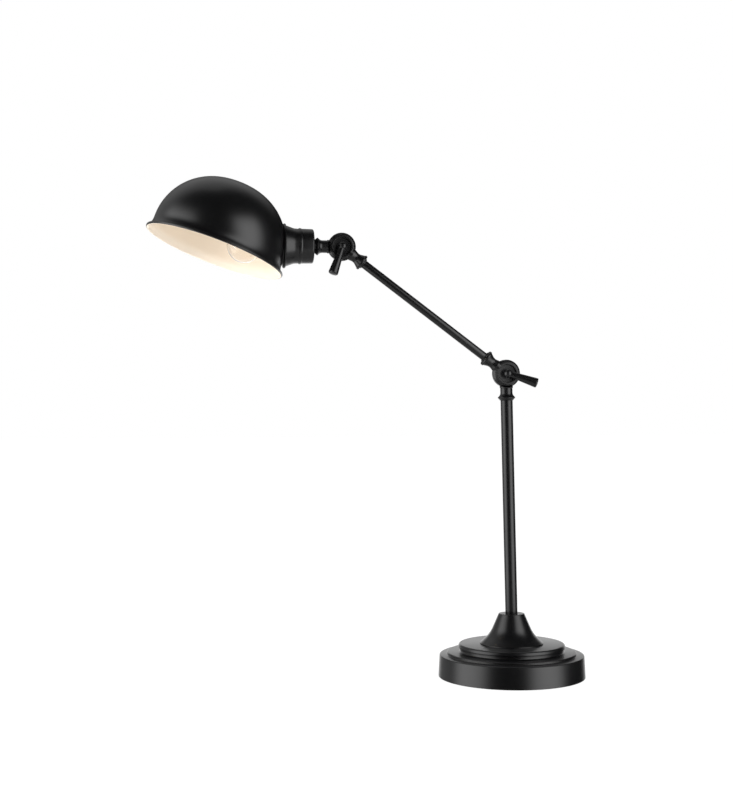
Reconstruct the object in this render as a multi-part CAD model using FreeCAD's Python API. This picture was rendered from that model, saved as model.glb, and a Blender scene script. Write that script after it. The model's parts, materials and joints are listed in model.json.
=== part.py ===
import FreeCAD, Part
import math
import os

# Adjustable desk lamp: stepped round base, upright stem, a straight arm between two clamped
# knuckle joints, and a domed metal shade on a side-entry lampholder. Millimetres, +Z up.
# Origin: centre of the felt underside. The arm and head reach out toward -X, the clamp levers
# are on the front (-Y) side, and the lead enters low in the back of the base (+Y).

V = FreeCAD.Vector
X_AXIS = V(1, 0, 0)
Y_AXIS = V(0, 1, 0)
Z_AXIS = V(0, 0, 1)

# ---- fits ------------------------------------------------------------------------------------
RUNNING = 0.05        # radial clearance of a pin, stud or screw in its bore
FACE_RUNNING = 0.05   # axial clearance between faces that turn on each other
LOOSE = 0.3           # clearance between neighbours that only sit near each other
PRESS_SLIP = 0.03     # radial clearance of a spigot or plug in its tube
STEM_SLACK = 0.15     # radial slack of the stem in its seat on the cone
THREAD_SLACK = 0.4    # radial slack of the stem's bush on the base pipe
EDGE_BREAK = 0.3      # small rounding of a machined or moulded edge
EDGE_ROUND = 0.5      # rounding of a cast or drawn edge
EDGE_SOFT = 0.8       # fuller rounding of a bead or collar
OVERCUT = 1.0         # how far a cutting shape runs past the face it opens
HALF_TURN = 180.0     # degrees

# ---- pose at rest ----------------------------------------------------------------------------
STEM_LEAN = 1.15      # degrees, stem tipped toward the arm by the slack at its foot
ARM_RISE = 37.05      # degrees, arm above the horizontal
HEAD_RISE = 0.3       # degrees, lampholder axis above the horizontal
SHADE_ROLL = 4.0      # degrees, shade turned on the lampholder axis toward the front
LOWER_LEVER_TURN = 109.5   # degrees about the pivot from straight up, seen from the front
UPPER_LEVER_TURN = 200.5

# ---- base ------------------------------------------------------------------------------------
FELT_SETBACK = 4.0    # felt's edge inside the foot of the shell
FELT_T = 1.5
SHELL_T = 1.2         # spun steel sheet
SHELL_LIFT = 0.8      # cut edge of the shell above the table
FOOT_R = 95.0         # radius at the cut edge
SIDE_TAPER = 1.4      # how far the side wall leans in from foot to outer step
OUTER_TREAD_W = 9.9
MIDDLE_TREAD_W = 14.8
OUTER_STEP_Z = 28.6
MIDDLE_STEP_Z = 32.2
TOP_STEP_Z = 42.7
STEP_NOSE = 1.5       # rounding of the two lower steps' edges
TOP_BEAD_T = 5.4      # height of the rounded bead that edges the top step
TOP_BEAD_NOSE = 2.5   # rounding of the bead
TOP_UNDERCUT = 2.2    # depth of the wall below the bead
TOP_COVE = 2.4        # hollow where that wall meets the middle step
LOW_COVE = 1.6
STEP_WALL_SLOPE = 0.6  # how far the middle step's wall leans in below its edge
STEP_FALL = 0.4       # fall of each step's tread toward its edge

WEIGHT_GAP = 0.7      # ballast's edge to the back of the grommet
WEIGHT_T = 14.0
WEIGHT_BOSS_R = 28.0
NUT_POCKET_R = 17.0
NUT_POCKET_T = 10.0
CORD_CHANNEL_W = 10.0
CORD_CHANNEL_T = 11.5

INLET_Z = 9.0         # height of the lead inlet's axis
INLET_BORE_R = 3.4
GROMMET_NECK_R = 5.2
GROMMET_FLANGE_R = 7.4
GROMMET_FLANGE_T = 1.8

# ---- stem ------------------------------------------------------------------------------------
CONE_FOOT_R = 41.0
CONE_EDGE_T = 1.0
CONE_KNEE_R = 28.0
CONE_KNEE_Z = 12.7    # above the top step
CONE_FLARE = 50.0
CONE_TOP_R = 16.6
CONE_TOP_Z = 39.0     # above the top step
CONE_TOP_ROUND = 0.9
CONE_WALL = 2.2
CONE_CEILING_T = 6.0
STEM_SEAT_T = 3.0     # depth of the stem's seat in the cone top

STEM_R = 7.9
STEM_WALL = 1.3
STEM_PLUG_T = 20.0
STEM_LENGTH = 279.8

NIPPLE_R = 5.0        # hollow threaded pipe
NIPPLE_BORE_R = 3.5
NIPPLE_ENTRY = 16.0   # how far the base pipe screws into the stem plug
NUT_AF = 17.0         # across flats
NUT_T = 4.0
LOCK_WASHER_R = 8.5
LOCK_WASHER_T = 1.4
FLAT_WASHER_R = 14.0
FLAT_WASHER_T = 1.6
THREAD_TAIL = 1.5     # pipe standing below its nut

# ---- knuckle joints --------------------------------------------------------------------------
KNUCKLE_R = 18.0
KNUCKLE_FACE = 7.4    # crest of the raised ring, from the joint's middle plane
KNUCKLE_RIM_T = 3.2   # full-radius part of the rim, from the middle plane
RING_R = 13.0         # radius of the raised ring's crest
RING_HALF_W = 1.7
RING_ROUND = 1.2
RIM_ROUND = 1.4       # rounding where the rim turns into its slope
BAND_W = 0.7          # flat just outside the raised ring
BAND_Z = 5.8
DISH_Z = 5.6          # floor inside the raised ring
NECK_CLEAR = 0.4      # neck of one half to the rim of the other
FRICTION_T = 1.0      # fibre washer between the halves
FRICTION_IN_R = 10.8
FRICTION_OUT_R = 17.0
CHAMBER_IN_R = 4.8    # hollow round the pivot boss, which lets the leads pass
CHAMBER_OUT_R = 10.5
CHAMBER_T = 3.0
WIRE_R = 2.6

NECK_START = 12.5     # where a neck leaves its disc, from the pivot
POST_BEAD_R = 8.6     # bead next to the disc on the stem and head necks
POST_BEAD_END = 18.3
POST_STEP_T = 0.8     # slope from the bead down to the waist
POST_NECK_R = 8.0
POST_FLARE_START = 27.4
POST_FLARE = 6.0
POST_COLLAR_R = 11.5
POST_COLLAR_Z = 31.2
POST_END_R = 8.6
POST_END = 34.8

ARM_NECK_ROOT_R = 7.9
ARM_NECK_ROOT_T = 4.5
ARM_NECK_ROOT_ROUND = 3.0
ARM_NECK_R = 6.0
ARM_NECK_Z = 23.4
ARM_CUP_R = 9.7
ARM_CUP_Z = 31.3
ARM_COLLAR_R = 10.4
ARM_COLLAR_T = 3.2
ARM_COLLAR_ROUND = 1.4
ARM_STEP_R = 7.0
ARM_STEP_T = 1.6
ARM_FLARE = 14.0
SPIGOT_T = 14.0
SPIGOT_ROOT = 2.0     # spigot inside its neck

PIVOT_R = 3.0
PIVOT_HEAD_R = 6.5
PIVOT_HEAD_T = 3.4
PIVOT_HEAD_EDGE = 0.45     # share of the head's height taken by its straight edge
PIVOT_HEAD_ROUND = 1.2
PIVOT_CROWN_ROUND = 3.0
PIVOT_SLOT_W = 1.2
PIVOT_SLOT_T = 1.2
PIVOT_REACH = 6.5     # thread inside the lever hub

LEVER_BALL_R = 5.6
LEVER_BALL_Y = 12.0   # ball centre in front of the joint's middle plane
LEVER_SHANK_R = 4.7
LEVER_WASHER_T = 0.9
LEVER_WASHER_R = 6.4
LEVER_ROOT_R = 3.6
LEVER_TIP_R = 6.4
LEVER_LENGTH = 39.4   # ball centre to tip
LEVER_SPLAY = 12.0    # degrees, bar leaning away from the knuckle
LEVER_TIP_ROUND = 1.8
LEVER_TIP_CROWN = 0.8  # swell of the tip's end face

# ---- arm -------------------------------------------------------------------------------------
ARM_LENGTH = 269.0    # pivot to pivot
ARM_R = 5.4
ARM_WALL = 1.1

# ---- head: heights are distances from the upper pivot along the lampholder axis ------------------
NECK_RING_R = 9.7
NECK_RING_T = 1.7
CAP_R = 22.1
CAP_T = 15.0
CAP_WALL = 1.2
CAP_TAPER = 0.3
CAP_ROUND = 2.2
CAP_SOCKET_LAP = 3.0  # fitter spigot inside the cap

FITTER_BEAD_R = 22.9
FITTER_BEAD_T = 4.6
FITTER_BEAD_ROUND = 1.2
FITTER_WAIST_R = 22.1  # low between bead and band
FITTER_BAND_R = 22.4
FITTER_BAND_T = 5.4
FITTER_BAND_FLARE = 12.0
FITTER_FLARE_R = 26.2
FITTER_FLARE_T = 10.6
FITTER_RIM_R = 28.4
FITTER_RIM_T = 3.2
FITTER_RIM_ROUND = 1.44
FITTER_WALL = 1.4
FITTER_SEAT_R = 25.4

HOLDER_GAP = 2.0      # lock nut to holder
HOLDER_R = 17.0
HOLDER_BACK_T = 24.0
HOLDER_BACK_ROUND = 1.5
HOLDER_SKIRT_R = 19.6
HOLDER_SKIRT_T = 25.0
HOLDER_CAVITY_R = 14.5
HOLDER_FLOOR_T = 22.5
HOLDER_BUSH_T = 12.5  # thick middle of the floor round the pipe entry
HOLDER_BUSH_W = 2.0
SCREW_SHELL_SETBACK = 2.0   # screw shell's edge inside the mouth
SHADE_RING_R = 24.4
SHADE_RING_T = 10.0
SCREW_SHELL_T = 0.4
TERMINAL_OFFSET = 10.5
TERMINAL_R = 1.5
TERMINAL_HEAD_R = 2.8
TERMINAL_HEAD_T = 1.6
TERMINAL_LENGTH = 9.0
HEAD_NIPPLE_T = 26.0
HEAD_NIPPLE_ENTRY = 11.0   # pipe inside the knuckle neck
LOCK_NUT_AF = 16.0
LOCK_NUT_T = 3.0

# ---- shade: heights are measured from the rim plane along the dome's own axis -------------------
SHADE_T = 0.9
RIM_X = 161.6         # rim centre along the lampholder axis
RIM_DROP = 7.8        # rim centre below the lampholder axis
DOME_TILT = 20.0      # degrees, dome axis leaning back toward the joint
DOME_TOP = 91.5
CROWN_R = 143.0       # radius of the flat crown arc
DOME_R = 85.3         # where the shoulder arc meets the skirt
SHOULDER_R = 75.6
SKIRT_R = 88.0
SKIRT_Z = 5.2
RIM_R = 91.0          # over the rolled edge
RIM_ROLL_R = 1.8
SHADE_HOLE_SLACK = 0.5

# ---- lamp (small globe, large screw cap) --------------------------------------------------------
BULB_X = 123.7        # globe centre along the lampholder axis
BULB_R = 22.6
GLASS_T = 0.8
BULB_LENGTH = 78.0    # contact to the far end of the globe
BULB_CAP_R = 13.0
BULB_CAP_T = 20.0
BULB_THREAD_T = 13.5
BULB_THREAD_TURNS = 4
BULB_THREAD_START = 1.0
BULB_THREAD_DEPTH = 0.7
BULB_CAP_NOSE = 1.4   # how far the cap's end is smaller than its thread
BULB_CAP_WAIST = 0.2
BULB_CAP_LIP = 1.2
BULB_CAP_WALL = 0.35
BULB_CONTACT_R = 4.6
BULB_CONTACT_T = 1.0
BULB_CONTACT_NOSE = 0.6
BULB_CONTACT_TAPER = 0.2
BULB_INSULATOR_T = 2.2
BULB_INSULATOR_SEAT = 0.6   # bead inside the cap's end
BULB_INSULATOR_W = 1.0
GLASS_NECK_R = 12.3
GLASS_NECK_LAP = 5.5  # glass inside the cap
MOUNT_R = 3.2
MOUNT_T = 20.0
MOUNT_FLANGE_T = 1.4
MOUNT_FOOT_R = 4.2
MOUNT_FOOT_T = 3.5
MOUNT_FILLET = 4.0
FILAMENT_WIRE_R = 0.35
FILAMENT_RISE = 12.0  # above the glass mount
FILAMENT_HALF_W = 9.0
FILAMENT_CLAMP_R = 0.45
CENTRE_CONTACT_R = 5.0
CENTRE_CONTACT_T = 1.2

# ---- places worked out from the sizes above -----------------------------------------------------
SIDE_TOP_R = FOOT_R - SIDE_TAPER     # where the side wall meets the outer step
MIDDLE_STEP_R = SIDE_TOP_R - OUTER_TREAD_W
TOP_STEP_R = MIDDLE_STEP_R - MIDDLE_TREAD_W
WEIGHT_Z = FELT_T
SHELL_INNER_TOP = TOP_STEP_Z - SHELL_T
POCKET_CEILING_Z = WEIGHT_Z + NUT_POCKET_T
CONE_TOP = TOP_STEP_Z + CONE_TOP_Z
STEM_FOOT_Z = CONE_TOP - STEM_SEAT_T
STEM_FOOT = V(0, 0, STEM_FOOT_Z + STEM_R * math.sin(math.radians(STEM_LEAN)))
STEM_DIRECTION = V(-math.sin(math.radians(STEM_LEAN)), 0, math.cos(math.radians(STEM_LEAN)))
ARM_END = ARM_CUP_Z + ARM_COLLAR_T + ARM_STEP_T
REAR_FACE = FRICTION_T / 2
FRONT_FACE = FRICTION_T / 2 + FACE_RUNNING
NECK_RING_Z = POST_END
CAP_Z = NECK_RING_Z + NECK_RING_T
FITTER_Z = CAP_Z + CAP_T
FITTER_RIM_Z = FITTER_Z + FITTER_BEAD_T + FITTER_BAND_T + FITTER_FLARE_T
LOCK_NUT_Z = CAP_Z + CAP_WALL
HOLDER_Z = LOCK_NUT_Z + LOCK_NUT_T + HOLDER_GAP
HOLDER_SKIRT_Z = HOLDER_Z + HOLDER_BACK_T
HOLDER_MOUTH_Z = HOLDER_SKIRT_Z + HOLDER_SKIRT_T
HOLDER_FLOOR_Z = HOLDER_Z + HOLDER_FLOOR_T
BULB_TIP_X = BULB_X + BULB_R - BULB_LENGTH
BULB_CAP_X = BULB_TIP_X + BULB_CONTACT_T + BULB_INSULATOR_T
BULB_CAP_END = BULB_CAP_X + BULB_CAP_T

LOWER_PIVOT = STEM_FOOT + STEM_DIRECTION * (STEM_LENGTH + POST_END)
ARM_DIRECTION = V(-math.cos(math.radians(ARM_RISE)), 0, math.sin(math.radians(ARM_RISE)))
UPPER_PIVOT = LOWER_PIVOT + ARM_DIRECTION * ARM_LENGTH
ARM_TURN = ARM_RISE - 90.0     # about +Y, takes straight up to the arm's direction
HEAD_TURN = HEAD_RISE - 90.0


# ---- outline and solid helpers ------------------------------------------------------------------
def corner_arc(before, corner, after, radius):
    """Points where a rounding of this radius starts, passes and ends at a corner."""
    back = before - corner
    ahead = after - corner
    half = back.getAngle(ahead) / 2
    reach = radius / math.tan(half)
    reach = min(reach, 0.49 * back.Length, 0.49 * ahead.Length)
    radius = reach * math.tan(half)
    back.normalize()
    ahead.normalize()
    bisector = back + ahead
    bisector.normalize()
    middle = corner + bisector * (radius / math.sin(half) - radius)
    return corner + back * reach, middle, corner + ahead * reach


def outline(corners):
    """Closed wire in the XZ plane from (radius, height) or (radius, height, rounding) corners."""
    points = [V(c[0], 0, c[1]) for c in corners]
    rounding = [c[2] if len(c) > 2 else 0 for c in corners]
    count = len(points)
    edges = []
    ends = []
    for i in range(count):
        if rounding[i] > 0:
            start, middle, end = corner_arc(points[i - 1], points[i], points[(i + 1) % count], rounding[i])
            ends.append((start, end, Part.Arc(start, middle, end).toShape()))
        else:
            ends.append((points[i], points[i], None))
    for i in range(count):
        start, end, arc = ends[i]
        if arc is not None:
            edges.append(arc)
        following = ends[(i + 1) % count][0]
        if end.distanceToPoint(following) > 1e-6:
            edges.append(Part.LineSegment(end, following).toShape())
    return Part.Wire(edges)


def spin(corners):
    """Turned piece: the outline swept once round the Z axis."""
    return Part.Face(outline(corners)).revolve(V(0, 0, 0), Z_AXIS, 360)


def rod(radius, low, high):
    return Part.makeCylinder(radius, high - low, V(0, 0, low))


def tube(outer, inner, low, high):
    return rod(outer, low, high).cut(rod(inner, low - OVERCUT, high + OVERCUT))


def hex_nut(across_flats, bore, low, high):
    corner_r = across_flats / math.sqrt(3)
    turns = [math.radians(60 * i) for i in range(7)]
    ring = [V(corner_r * math.cos(t), corner_r * math.sin(t), low) for t in turns]
    body = Part.Face(Part.makePolygon(ring)).extrude(V(0, 0, high - low))
    return body.cut(rod(bore, low - OVERCUT, high + OVERCUT))


def turned(shape, axis, degrees):
    copy = shape.copy()
    copy.rotate(V(0, 0, 0), axis, degrees)
    return copy


def moved(shape, offset):
    copy = shape.copy()
    copy.translate(offset)
    return copy


def save(name, shape):
    shape.exportStep("parts/" + name + ".step")


# ---- base ---------------------------------------------------------------------------------------
def shell_surface(inset):
    """Corners of the stepped surface from the centre hole to the cut edge, moved in by inset."""
    nose = max(STEP_NOSE - inset, EDGE_BREAK)
    bead = TOP_BEAD_NOSE - inset
    bead_low = TOP_STEP_Z - TOP_BEAD_T + inset
    wall = TOP_STEP_R - TOP_UNDERCUT - inset
    return [
        (TOP_STEP_R - inset, TOP_STEP_Z - inset, bead),
        (TOP_STEP_R - inset, bead_low, bead),
        (wall, bead_low, EDGE_BREAK + inset),
        (wall, MIDDLE_STEP_Z + STEP_FALL - inset, TOP_COVE + inset),
        (MIDDLE_STEP_R - inset, MIDDLE_STEP_Z - inset, nose),
        (MIDDLE_STEP_R - STEP_WALL_SLOPE - inset, OUTER_STEP_Z + STEP_FALL - inset, LOW_COVE),
        (SIDE_TOP_R - inset, OUTER_STEP_Z - inset, nose),
        (FOOT_R - inset, SHELL_LIFT),
    ]


def side_radius(height):
    """Outer radius of the shell's slightly tapered side wall."""
    slope = (FOOT_R - SIDE_TOP_R) / (OUTER_STEP_Z - SHELL_LIFT)
    return FOOT_R - slope * (height - SHELL_LIFT)


def grommet_groove():
    """Inner and outer face of the grommet's groove, from the highest and lowest radius it meets."""
    walls = [side_radius(INLET_Z - GROMMET_FLANGE_R), side_radius(INLET_Z + GROMMET_FLANGE_R)]
    inner_wall = min(walls) - SHELL_T
    inner = math.sqrt(inner_wall ** 2 - GROMMET_FLANGE_R ** 2) - LOOSE / 2
    return inner, max(walls) + LOOSE / 2


def felt_pad():
    return rod(FOOT_R - FELT_SETBACK, 0, FELT_T)


def base_shell():
    hole = NIPPLE_R + LOOSE
    outside = [(hole, TOP_STEP_Z)] + shell_surface(0)
    inside = [(hole, TOP_STEP_Z - SHELL_T)] + shell_surface(SHELL_T)
    shell = spin(outside + inside[::-1])
    inlet = turned(rod(GROMMET_NECK_R + LOOSE / 2, 0, FOOT_R + SIDE_TOP_R), X_AXIS, -90)
    return shell.cut(moved(inlet, V(0, 0, INLET_Z)))


def base_weight():
    radius = grommet_groove()[0] - GROMMET_FLANGE_T - WEIGHT_GAP
    body = rod(radius, WEIGHT_Z, WEIGHT_Z + WEIGHT_T)
    body = body.fuse(rod(WEIGHT_BOSS_R, WEIGHT_Z, SHELL_INNER_TOP))
    body = body.cut(rod(NUT_POCKET_R, WEIGHT_Z - OVERCUT, POCKET_CEILING_Z))
    body = body.cut(rod(NIPPLE_R + LOOSE, WEIGHT_Z, TOP_STEP_Z))
    channel = Part.makeBox(CORD_CHANNEL_W, 2 * radius, CORD_CHANNEL_T + OVERCUT)
    channel.translate(V(-CORD_CHANNEL_W / 2, 0, WEIGHT_Z - OVERCUT))
    return body.cut(channel).removeSplitter()


def cord_grommet():
    """Moulded ring that lines the lead's hole in the back of the shell."""
    groove_in, groove_out = grommet_groove()
    back = groove_in - GROMMET_FLANGE_T
    front = groove_out + GROMMET_FLANGE_T
    body = spin([
        (INLET_BORE_R, back),
        (GROMMET_FLANGE_R, back, EDGE_ROUND),
        (GROMMET_FLANGE_R, groove_in),
        (GROMMET_NECK_R, groove_in),
        (GROMMET_NECK_R, groove_out),
        (GROMMET_FLANGE_R, groove_out),
        (GROMMET_FLANGE_R, front, EDGE_SOFT),
        (INLET_BORE_R, front),
    ])
    return moved(turned(body, X_AXIS, -90), V(0, 0, INLET_Z))


def base_cone():
    """Trumpet-shaped casting that carries the stem on the base."""
    foot = TOP_STEP_Z
    ceiling = CONE_TOP - CONE_CEILING_T
    knee = (CONE_KNEE_R, foot + CONE_KNEE_Z, CONE_FLARE)
    body = spin([
        (0, foot),
        (CONE_FOOT_R, foot),
        (CONE_FOOT_R, foot + CONE_EDGE_T, EDGE_ROUND),
        knee,
        (CONE_TOP_R, CONE_TOP, CONE_TOP_ROUND),
        (0, CONE_TOP),
    ])
    hollow = spin([
        (0, foot - OVERCUT),
        (CONE_FOOT_R - CONE_WALL, foot - OVERCUT),
        (CONE_FOOT_R - CONE_WALL, foot),
        (CONE_KNEE_R - CONE_WALL, foot + CONE_KNEE_Z - CONE_WALL, CONE_FLARE),
        (CONE_TOP_R - CONE_WALL, ceiling),
        (0, ceiling),
    ])
    body = body.cut(hollow)
    body = body.cut(rod(STEM_R + STEM_SLACK, STEM_FOOT_Z, CONE_TOP + OVERCUT))
    return body.cut(rod(NIPPLE_R + LOOSE, foot, CONE_TOP))


def threaded_nipple():
    low = POCKET_CEILING_Z - FLAT_WASHER_T - LOCK_WASHER_T - NUT_T - THREAD_TAIL
    return tube(NIPPLE_R, NIPPLE_BORE_R, low, STEM_FOOT_Z + NIPPLE_ENTRY)


def base_flat_washer():
    return tube(FLAT_WASHER_R, NIPPLE_R + LOOSE, POCKET_CEILING_Z - FLAT_WASHER_T, POCKET_CEILING_Z)


def base_lock_washer():
    """Split spring washer."""
    high = POCKET_CEILING_Z - FLAT_WASHER_T
    ring = tube(LOCK_WASHER_R, NIPPLE_R + LOOSE, high - LOCK_WASHER_T, high)
    split = Part.makeBox(LOCK_WASHER_R, LOCK_WASHER_T, 2 * LOCK_WASHER_T)
    split.translate(V(NIPPLE_R, -LOCK_WASHER_T / 2, high - 1.5 * LOCK_WASHER_T))
    return ring.cut(split)


def base_nut():
    high = POCKET_CEILING_Z - FLAT_WASHER_T - LOCK_WASHER_T
    return hex_nut(NUT_AF, NIPPLE_R + RUNNING, high - NUT_T, high)


# ---- stem ---------------------------------------------------------------------------------------
def on_stem(shape):
    """Carry a piece built upward from the stem's foot to the leaning stem."""
    return moved(turned(shape, Y_AXIS, -STEM_LEAN), STEM_FOOT)


def stem_plug():
    """Bush fixed in the stem's foot, threaded for the pipe through the base."""
    return on_stem(tube(STEM_R - STEM_WALL - PRESS_SLIP, NIPPLE_R + THREAD_SLACK, 0, STEM_PLUG_T))


def stem_tube():
    return on_stem(tube(STEM_R, STEM_R - STEM_WALL, 0, STEM_LENGTH))


# ---- knuckle joints -----------------------------------------------------------------------------
def knuckle_disc(face):
    """Half of the joint's body along +Z: rim, raised ring, dished centre, hollow round the boss."""
    ring_out = RING_R + RING_HALF_W
    ring_in = RING_R - RING_HALF_W
    bore = PIVOT_R + RUNNING
    disc = spin([
        (bore, face),
        (CHAMBER_IN_R, face),
        (CHAMBER_IN_R, face + CHAMBER_T),
        (CHAMBER_OUT_R, face + CHAMBER_T),
        (CHAMBER_OUT_R, face),
        (KNUCKLE_R, face),
        (KNUCKLE_R, KNUCKLE_RIM_T, RIM_ROUND),
        (ring_out + BAND_W, BAND_Z, EDGE_ROUND),
        (ring_out, BAND_Z, EDGE_BREAK),
        (ring_out, KNUCKLE_FACE, RING_ROUND),
        (ring_in, KNUCKLE_FACE, RING_ROUND),
        (ring_in, DISH_Z, EDGE_BREAK),
        (bore, DISH_Z),
    ])
    return disc


def post_neck():
    """Neck of the stem and head joint halves: bead, waist, sharp collar."""
    return spin([
        (0, NECK_START),
        (POST_BEAD_R, NECK_START),
        (POST_BEAD_R, POST_BEAD_END, EDGE_SOFT),
        (POST_NECK_R, POST_BEAD_END + POST_STEP_T, EDGE_ROUND),
        (POST_NECK_R, POST_FLARE_START, POST_FLARE),
        (POST_COLLAR_R, POST_COLLAR_Z, EDGE_ROUND),
        (POST_END_R, POST_END),
        (0, POST_END),
    ])


def arm_neck():
    """Neck of the arm's joint halves: waist, flared cup, collar and a smaller step."""
    collar_end = ARM_CUP_Z + ARM_COLLAR_T
    return spin([
        (0, NECK_START),
        (ARM_NECK_ROOT_R, NECK_START),
        (ARM_NECK_ROOT_R, NECK_START + ARM_NECK_ROOT_T, ARM_NECK_ROOT_ROUND),
        (ARM_NECK_R, ARM_NECK_Z, ARM_FLARE),
        (ARM_CUP_R, ARM_CUP_Z, EDGE_BREAK),
        (ARM_COLLAR_R, ARM_CUP_Z, EDGE_ROUND),
        (ARM_COLLAR_R, collar_end, ARM_COLLAR_ROUND),
        (ARM_STEP_R, collar_end),
        (ARM_STEP_R, ARM_END, EDGE_ROUND),
        (0, ARM_END),
    ])


def knuckle_half(neck, neck_end, spigot_r, socket_r, rear):
    """One casting of a joint: pivot at the origin along Y, neck along +Z, disc in front or behind."""
    face = REAR_FACE if rear else FRONT_FACE
    side = 1 if rear else -1
    disc = turned(knuckle_disc(face), X_AXIS, -90 * side)
    reach = 2 * KNUCKLE_R
    opposite = Part.makeCylinder(KNUCKLE_R + NECK_CLEAR, reach, V(0, face * side, 0), V(0, -side, 0))
    stub = neck.cut(opposite)
    if spigot_r > 0:
        stub = stub.fuse(rod(spigot_r, neck_end - SPIGOT_ROOT, neck_end + SPIGOT_T))
    body = disc.fuse(stub)
    body = body.cut(turned(rod(PIVOT_R + RUNNING, -reach, reach), X_AXIS, 90))
    body = body.cut(rod(WIRE_R, CHAMBER_OUT_R - OVERCUT, neck_end + SPIGOT_T + OVERCUT))
    if socket_r > 0:
        body = body.cut(rod(socket_r, neck_end - HEAD_NIPPLE_ENTRY, neck_end + OVERCUT))
    return body.removeSplitter()


def pivot_screw():
    """Slotted dome-headed screw: head behind the joint, thread reaching into the lever hub."""
    head_low = DISH_Z
    tip = -(LEVER_BALL_Y - LEVER_BALL_R + PIVOT_REACH)
    dome = spin([
        (0, tip),
        (PIVOT_R, tip, EDGE_ROUND),
        (PIVOT_R, head_low),
        (PIVOT_HEAD_R, head_low),
        (PIVOT_HEAD_R, head_low + PIVOT_HEAD_EDGE * PIVOT_HEAD_T, PIVOT_HEAD_ROUND),
        (PIVOT_HEAD_R / 2, head_low + PIVOT_HEAD_T, PIVOT_CROWN_ROUND),
        (0, head_low + PIVOT_HEAD_T),
    ])
    slot = Part.makeBox(3 * PIVOT_HEAD_R, PIVOT_SLOT_W, PIVOT_SLOT_T + OVERCUT)
    slot.translate(V(-1.5 * PIVOT_HEAD_R, -PIVOT_SLOT_W / 2, head_low + PIVOT_HEAD_T - PIVOT_SLOT_T))
    return turned(dome.cut(slot), X_AXIS, -90)


def friction_washer():
    ring = tube(FRICTION_OUT_R, FRICTION_IN_R, -FRICTION_T / 2, FRICTION_T / 2)
    return turned(ring, X_AXIS, 90)


def lever_washer():
    low = DISH_Z + FACE_RUNNING
    return turned(tube(LEVER_WASHER_R, PIVOT_R + RUNNING, low, low + LEVER_WASHER_T), X_AXIS, 90)


def clamp_lever():
    """Ball hub with a bar that thickens to its rounded tip; the bar points up and leans forward."""
    bar = spin([
        (0, 0),
        (LEVER_ROOT_R, 0),
        (LEVER_TIP_R, LEVER_LENGTH, LEVER_TIP_ROUND),
        (0, LEVER_LENGTH + LEVER_TIP_CROWN),
    ])
    bar = moved(turned(bar, X_AXIS, LEVER_SPLAY), V(0, -LEVER_BALL_Y, 0))
    ball = Part.makeSphere(LEVER_BALL_R, V(0, -LEVER_BALL_Y, 0))
    shank_low = DISH_Z + FACE_RUNNING + LEVER_WASHER_T
    shank = turned(rod(LEVER_SHANK_R, shank_low, LEVER_BALL_Y), X_AXIS, 90)
    thread_end = LEVER_BALL_Y - LEVER_BALL_R + PIVOT_REACH + RUNNING
    thread = turned(rod(PIVOT_R + RUNNING, 0, thread_end), X_AXIS, 90)
    return bar.fuse(ball).fuse(shank).cut(thread).removeSplitter()


def at_joint(shape, turn, pivot):
    """Turn a joint piece about the pivot axis and carry it to its pivot."""
    return moved(turned(shape, Y_AXIS, turn), pivot)


# ---- arm ----------------------------------------------------------------------------------------
def arm_tube():
    return tube(ARM_R, ARM_R - ARM_WALL, ARM_END, ARM_LENGTH - ARM_END)


# ---- head: built along +Z from the upper pivot, with +X as the side that faces up -----------------
def neck_ring():
    return spin([
        (NIPPLE_R + RUNNING, NECK_RING_Z),
        (NECK_RING_R, NECK_RING_Z, EDGE_ROUND),
        (NECK_RING_R, CAP_Z, EDGE_ROUND),
        (NIPPLE_R + RUNNING, CAP_Z),
    ])


def head_nipple():
    low = POST_END - HEAD_NIPPLE_ENTRY
    return tube(NIPPLE_R, NIPPLE_BORE_R, low, low + HEAD_NIPPLE_T)


def socket_cap():
    """Drawn cup that hides the back of the lampholder."""
    hole = NIPPLE_R + RUNNING
    return spin([
        (hole, CAP_Z),
        (CAP_R - CAP_TAPER, CAP_Z, CAP_ROUND),
        (CAP_R, FITTER_Z),
        (CAP_R - CAP_WALL, FITTER_Z),
        (CAP_R - CAP_TAPER - CAP_WALL, CAP_Z + CAP_WALL, CAP_ROUND - CAP_WALL),
        (hole, CAP_Z + CAP_WALL),
    ])


def lock_nut():
    return hex_nut(LOCK_NUT_AF, NIPPLE_R + RUNNING, LOCK_NUT_Z, LOCK_NUT_Z + LOCK_NUT_T)


def dome_outline(inset):
    """Wire of the filled dome: crown arc, shoulder arc and skirt, all moved in by inset."""
    crown_r = CROWN_R - inset
    shoulder_r = SHOULDER_R - inset
    crown_z = DOME_TOP - CROWN_R
    shoulder_x = DOME_R - SHOULDER_R
    drop = math.sqrt((CROWN_R - SHOULDER_R) ** 2 - shoulder_x ** 2)
    shoulder_z = crown_z + drop
    lean = math.atan2(shoulder_x, drop)
    turn = V(shoulder_x + shoulder_r * math.sin(lean), 0, shoulder_z + shoulder_r * math.cos(lean))
    halfway = (lean + math.pi / 2) / 2
    side = V(shoulder_x + shoulder_r * math.sin(halfway), 0, shoulder_z + shoulder_r * math.cos(halfway))
    apex = V(0, 0, DOME_TOP - inset)
    crown = V(crown_r * math.sin(lean / 2), 0, crown_z + crown_r * math.cos(lean / 2))
    spring = V(DOME_R - inset, 0, shoulder_z)
    skirt = V(SKIRT_R - inset, 0, SKIRT_Z)
    low = V(SKIRT_R - inset, 0, 0)
    return [
        Part.Arc(apex, crown, turn).toShape(),
        Part.Arc(turn, side, spring).toShape(),
        Part.LineSegment(spring, skirt).toShape(),
        Part.LineSegment(skirt, low).toShape(),
        Part.LineSegment(low, V(0, 0, 0)).toShape(),
        Part.LineSegment(V(0, 0, 0), apex).toShape(),
    ]


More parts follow.
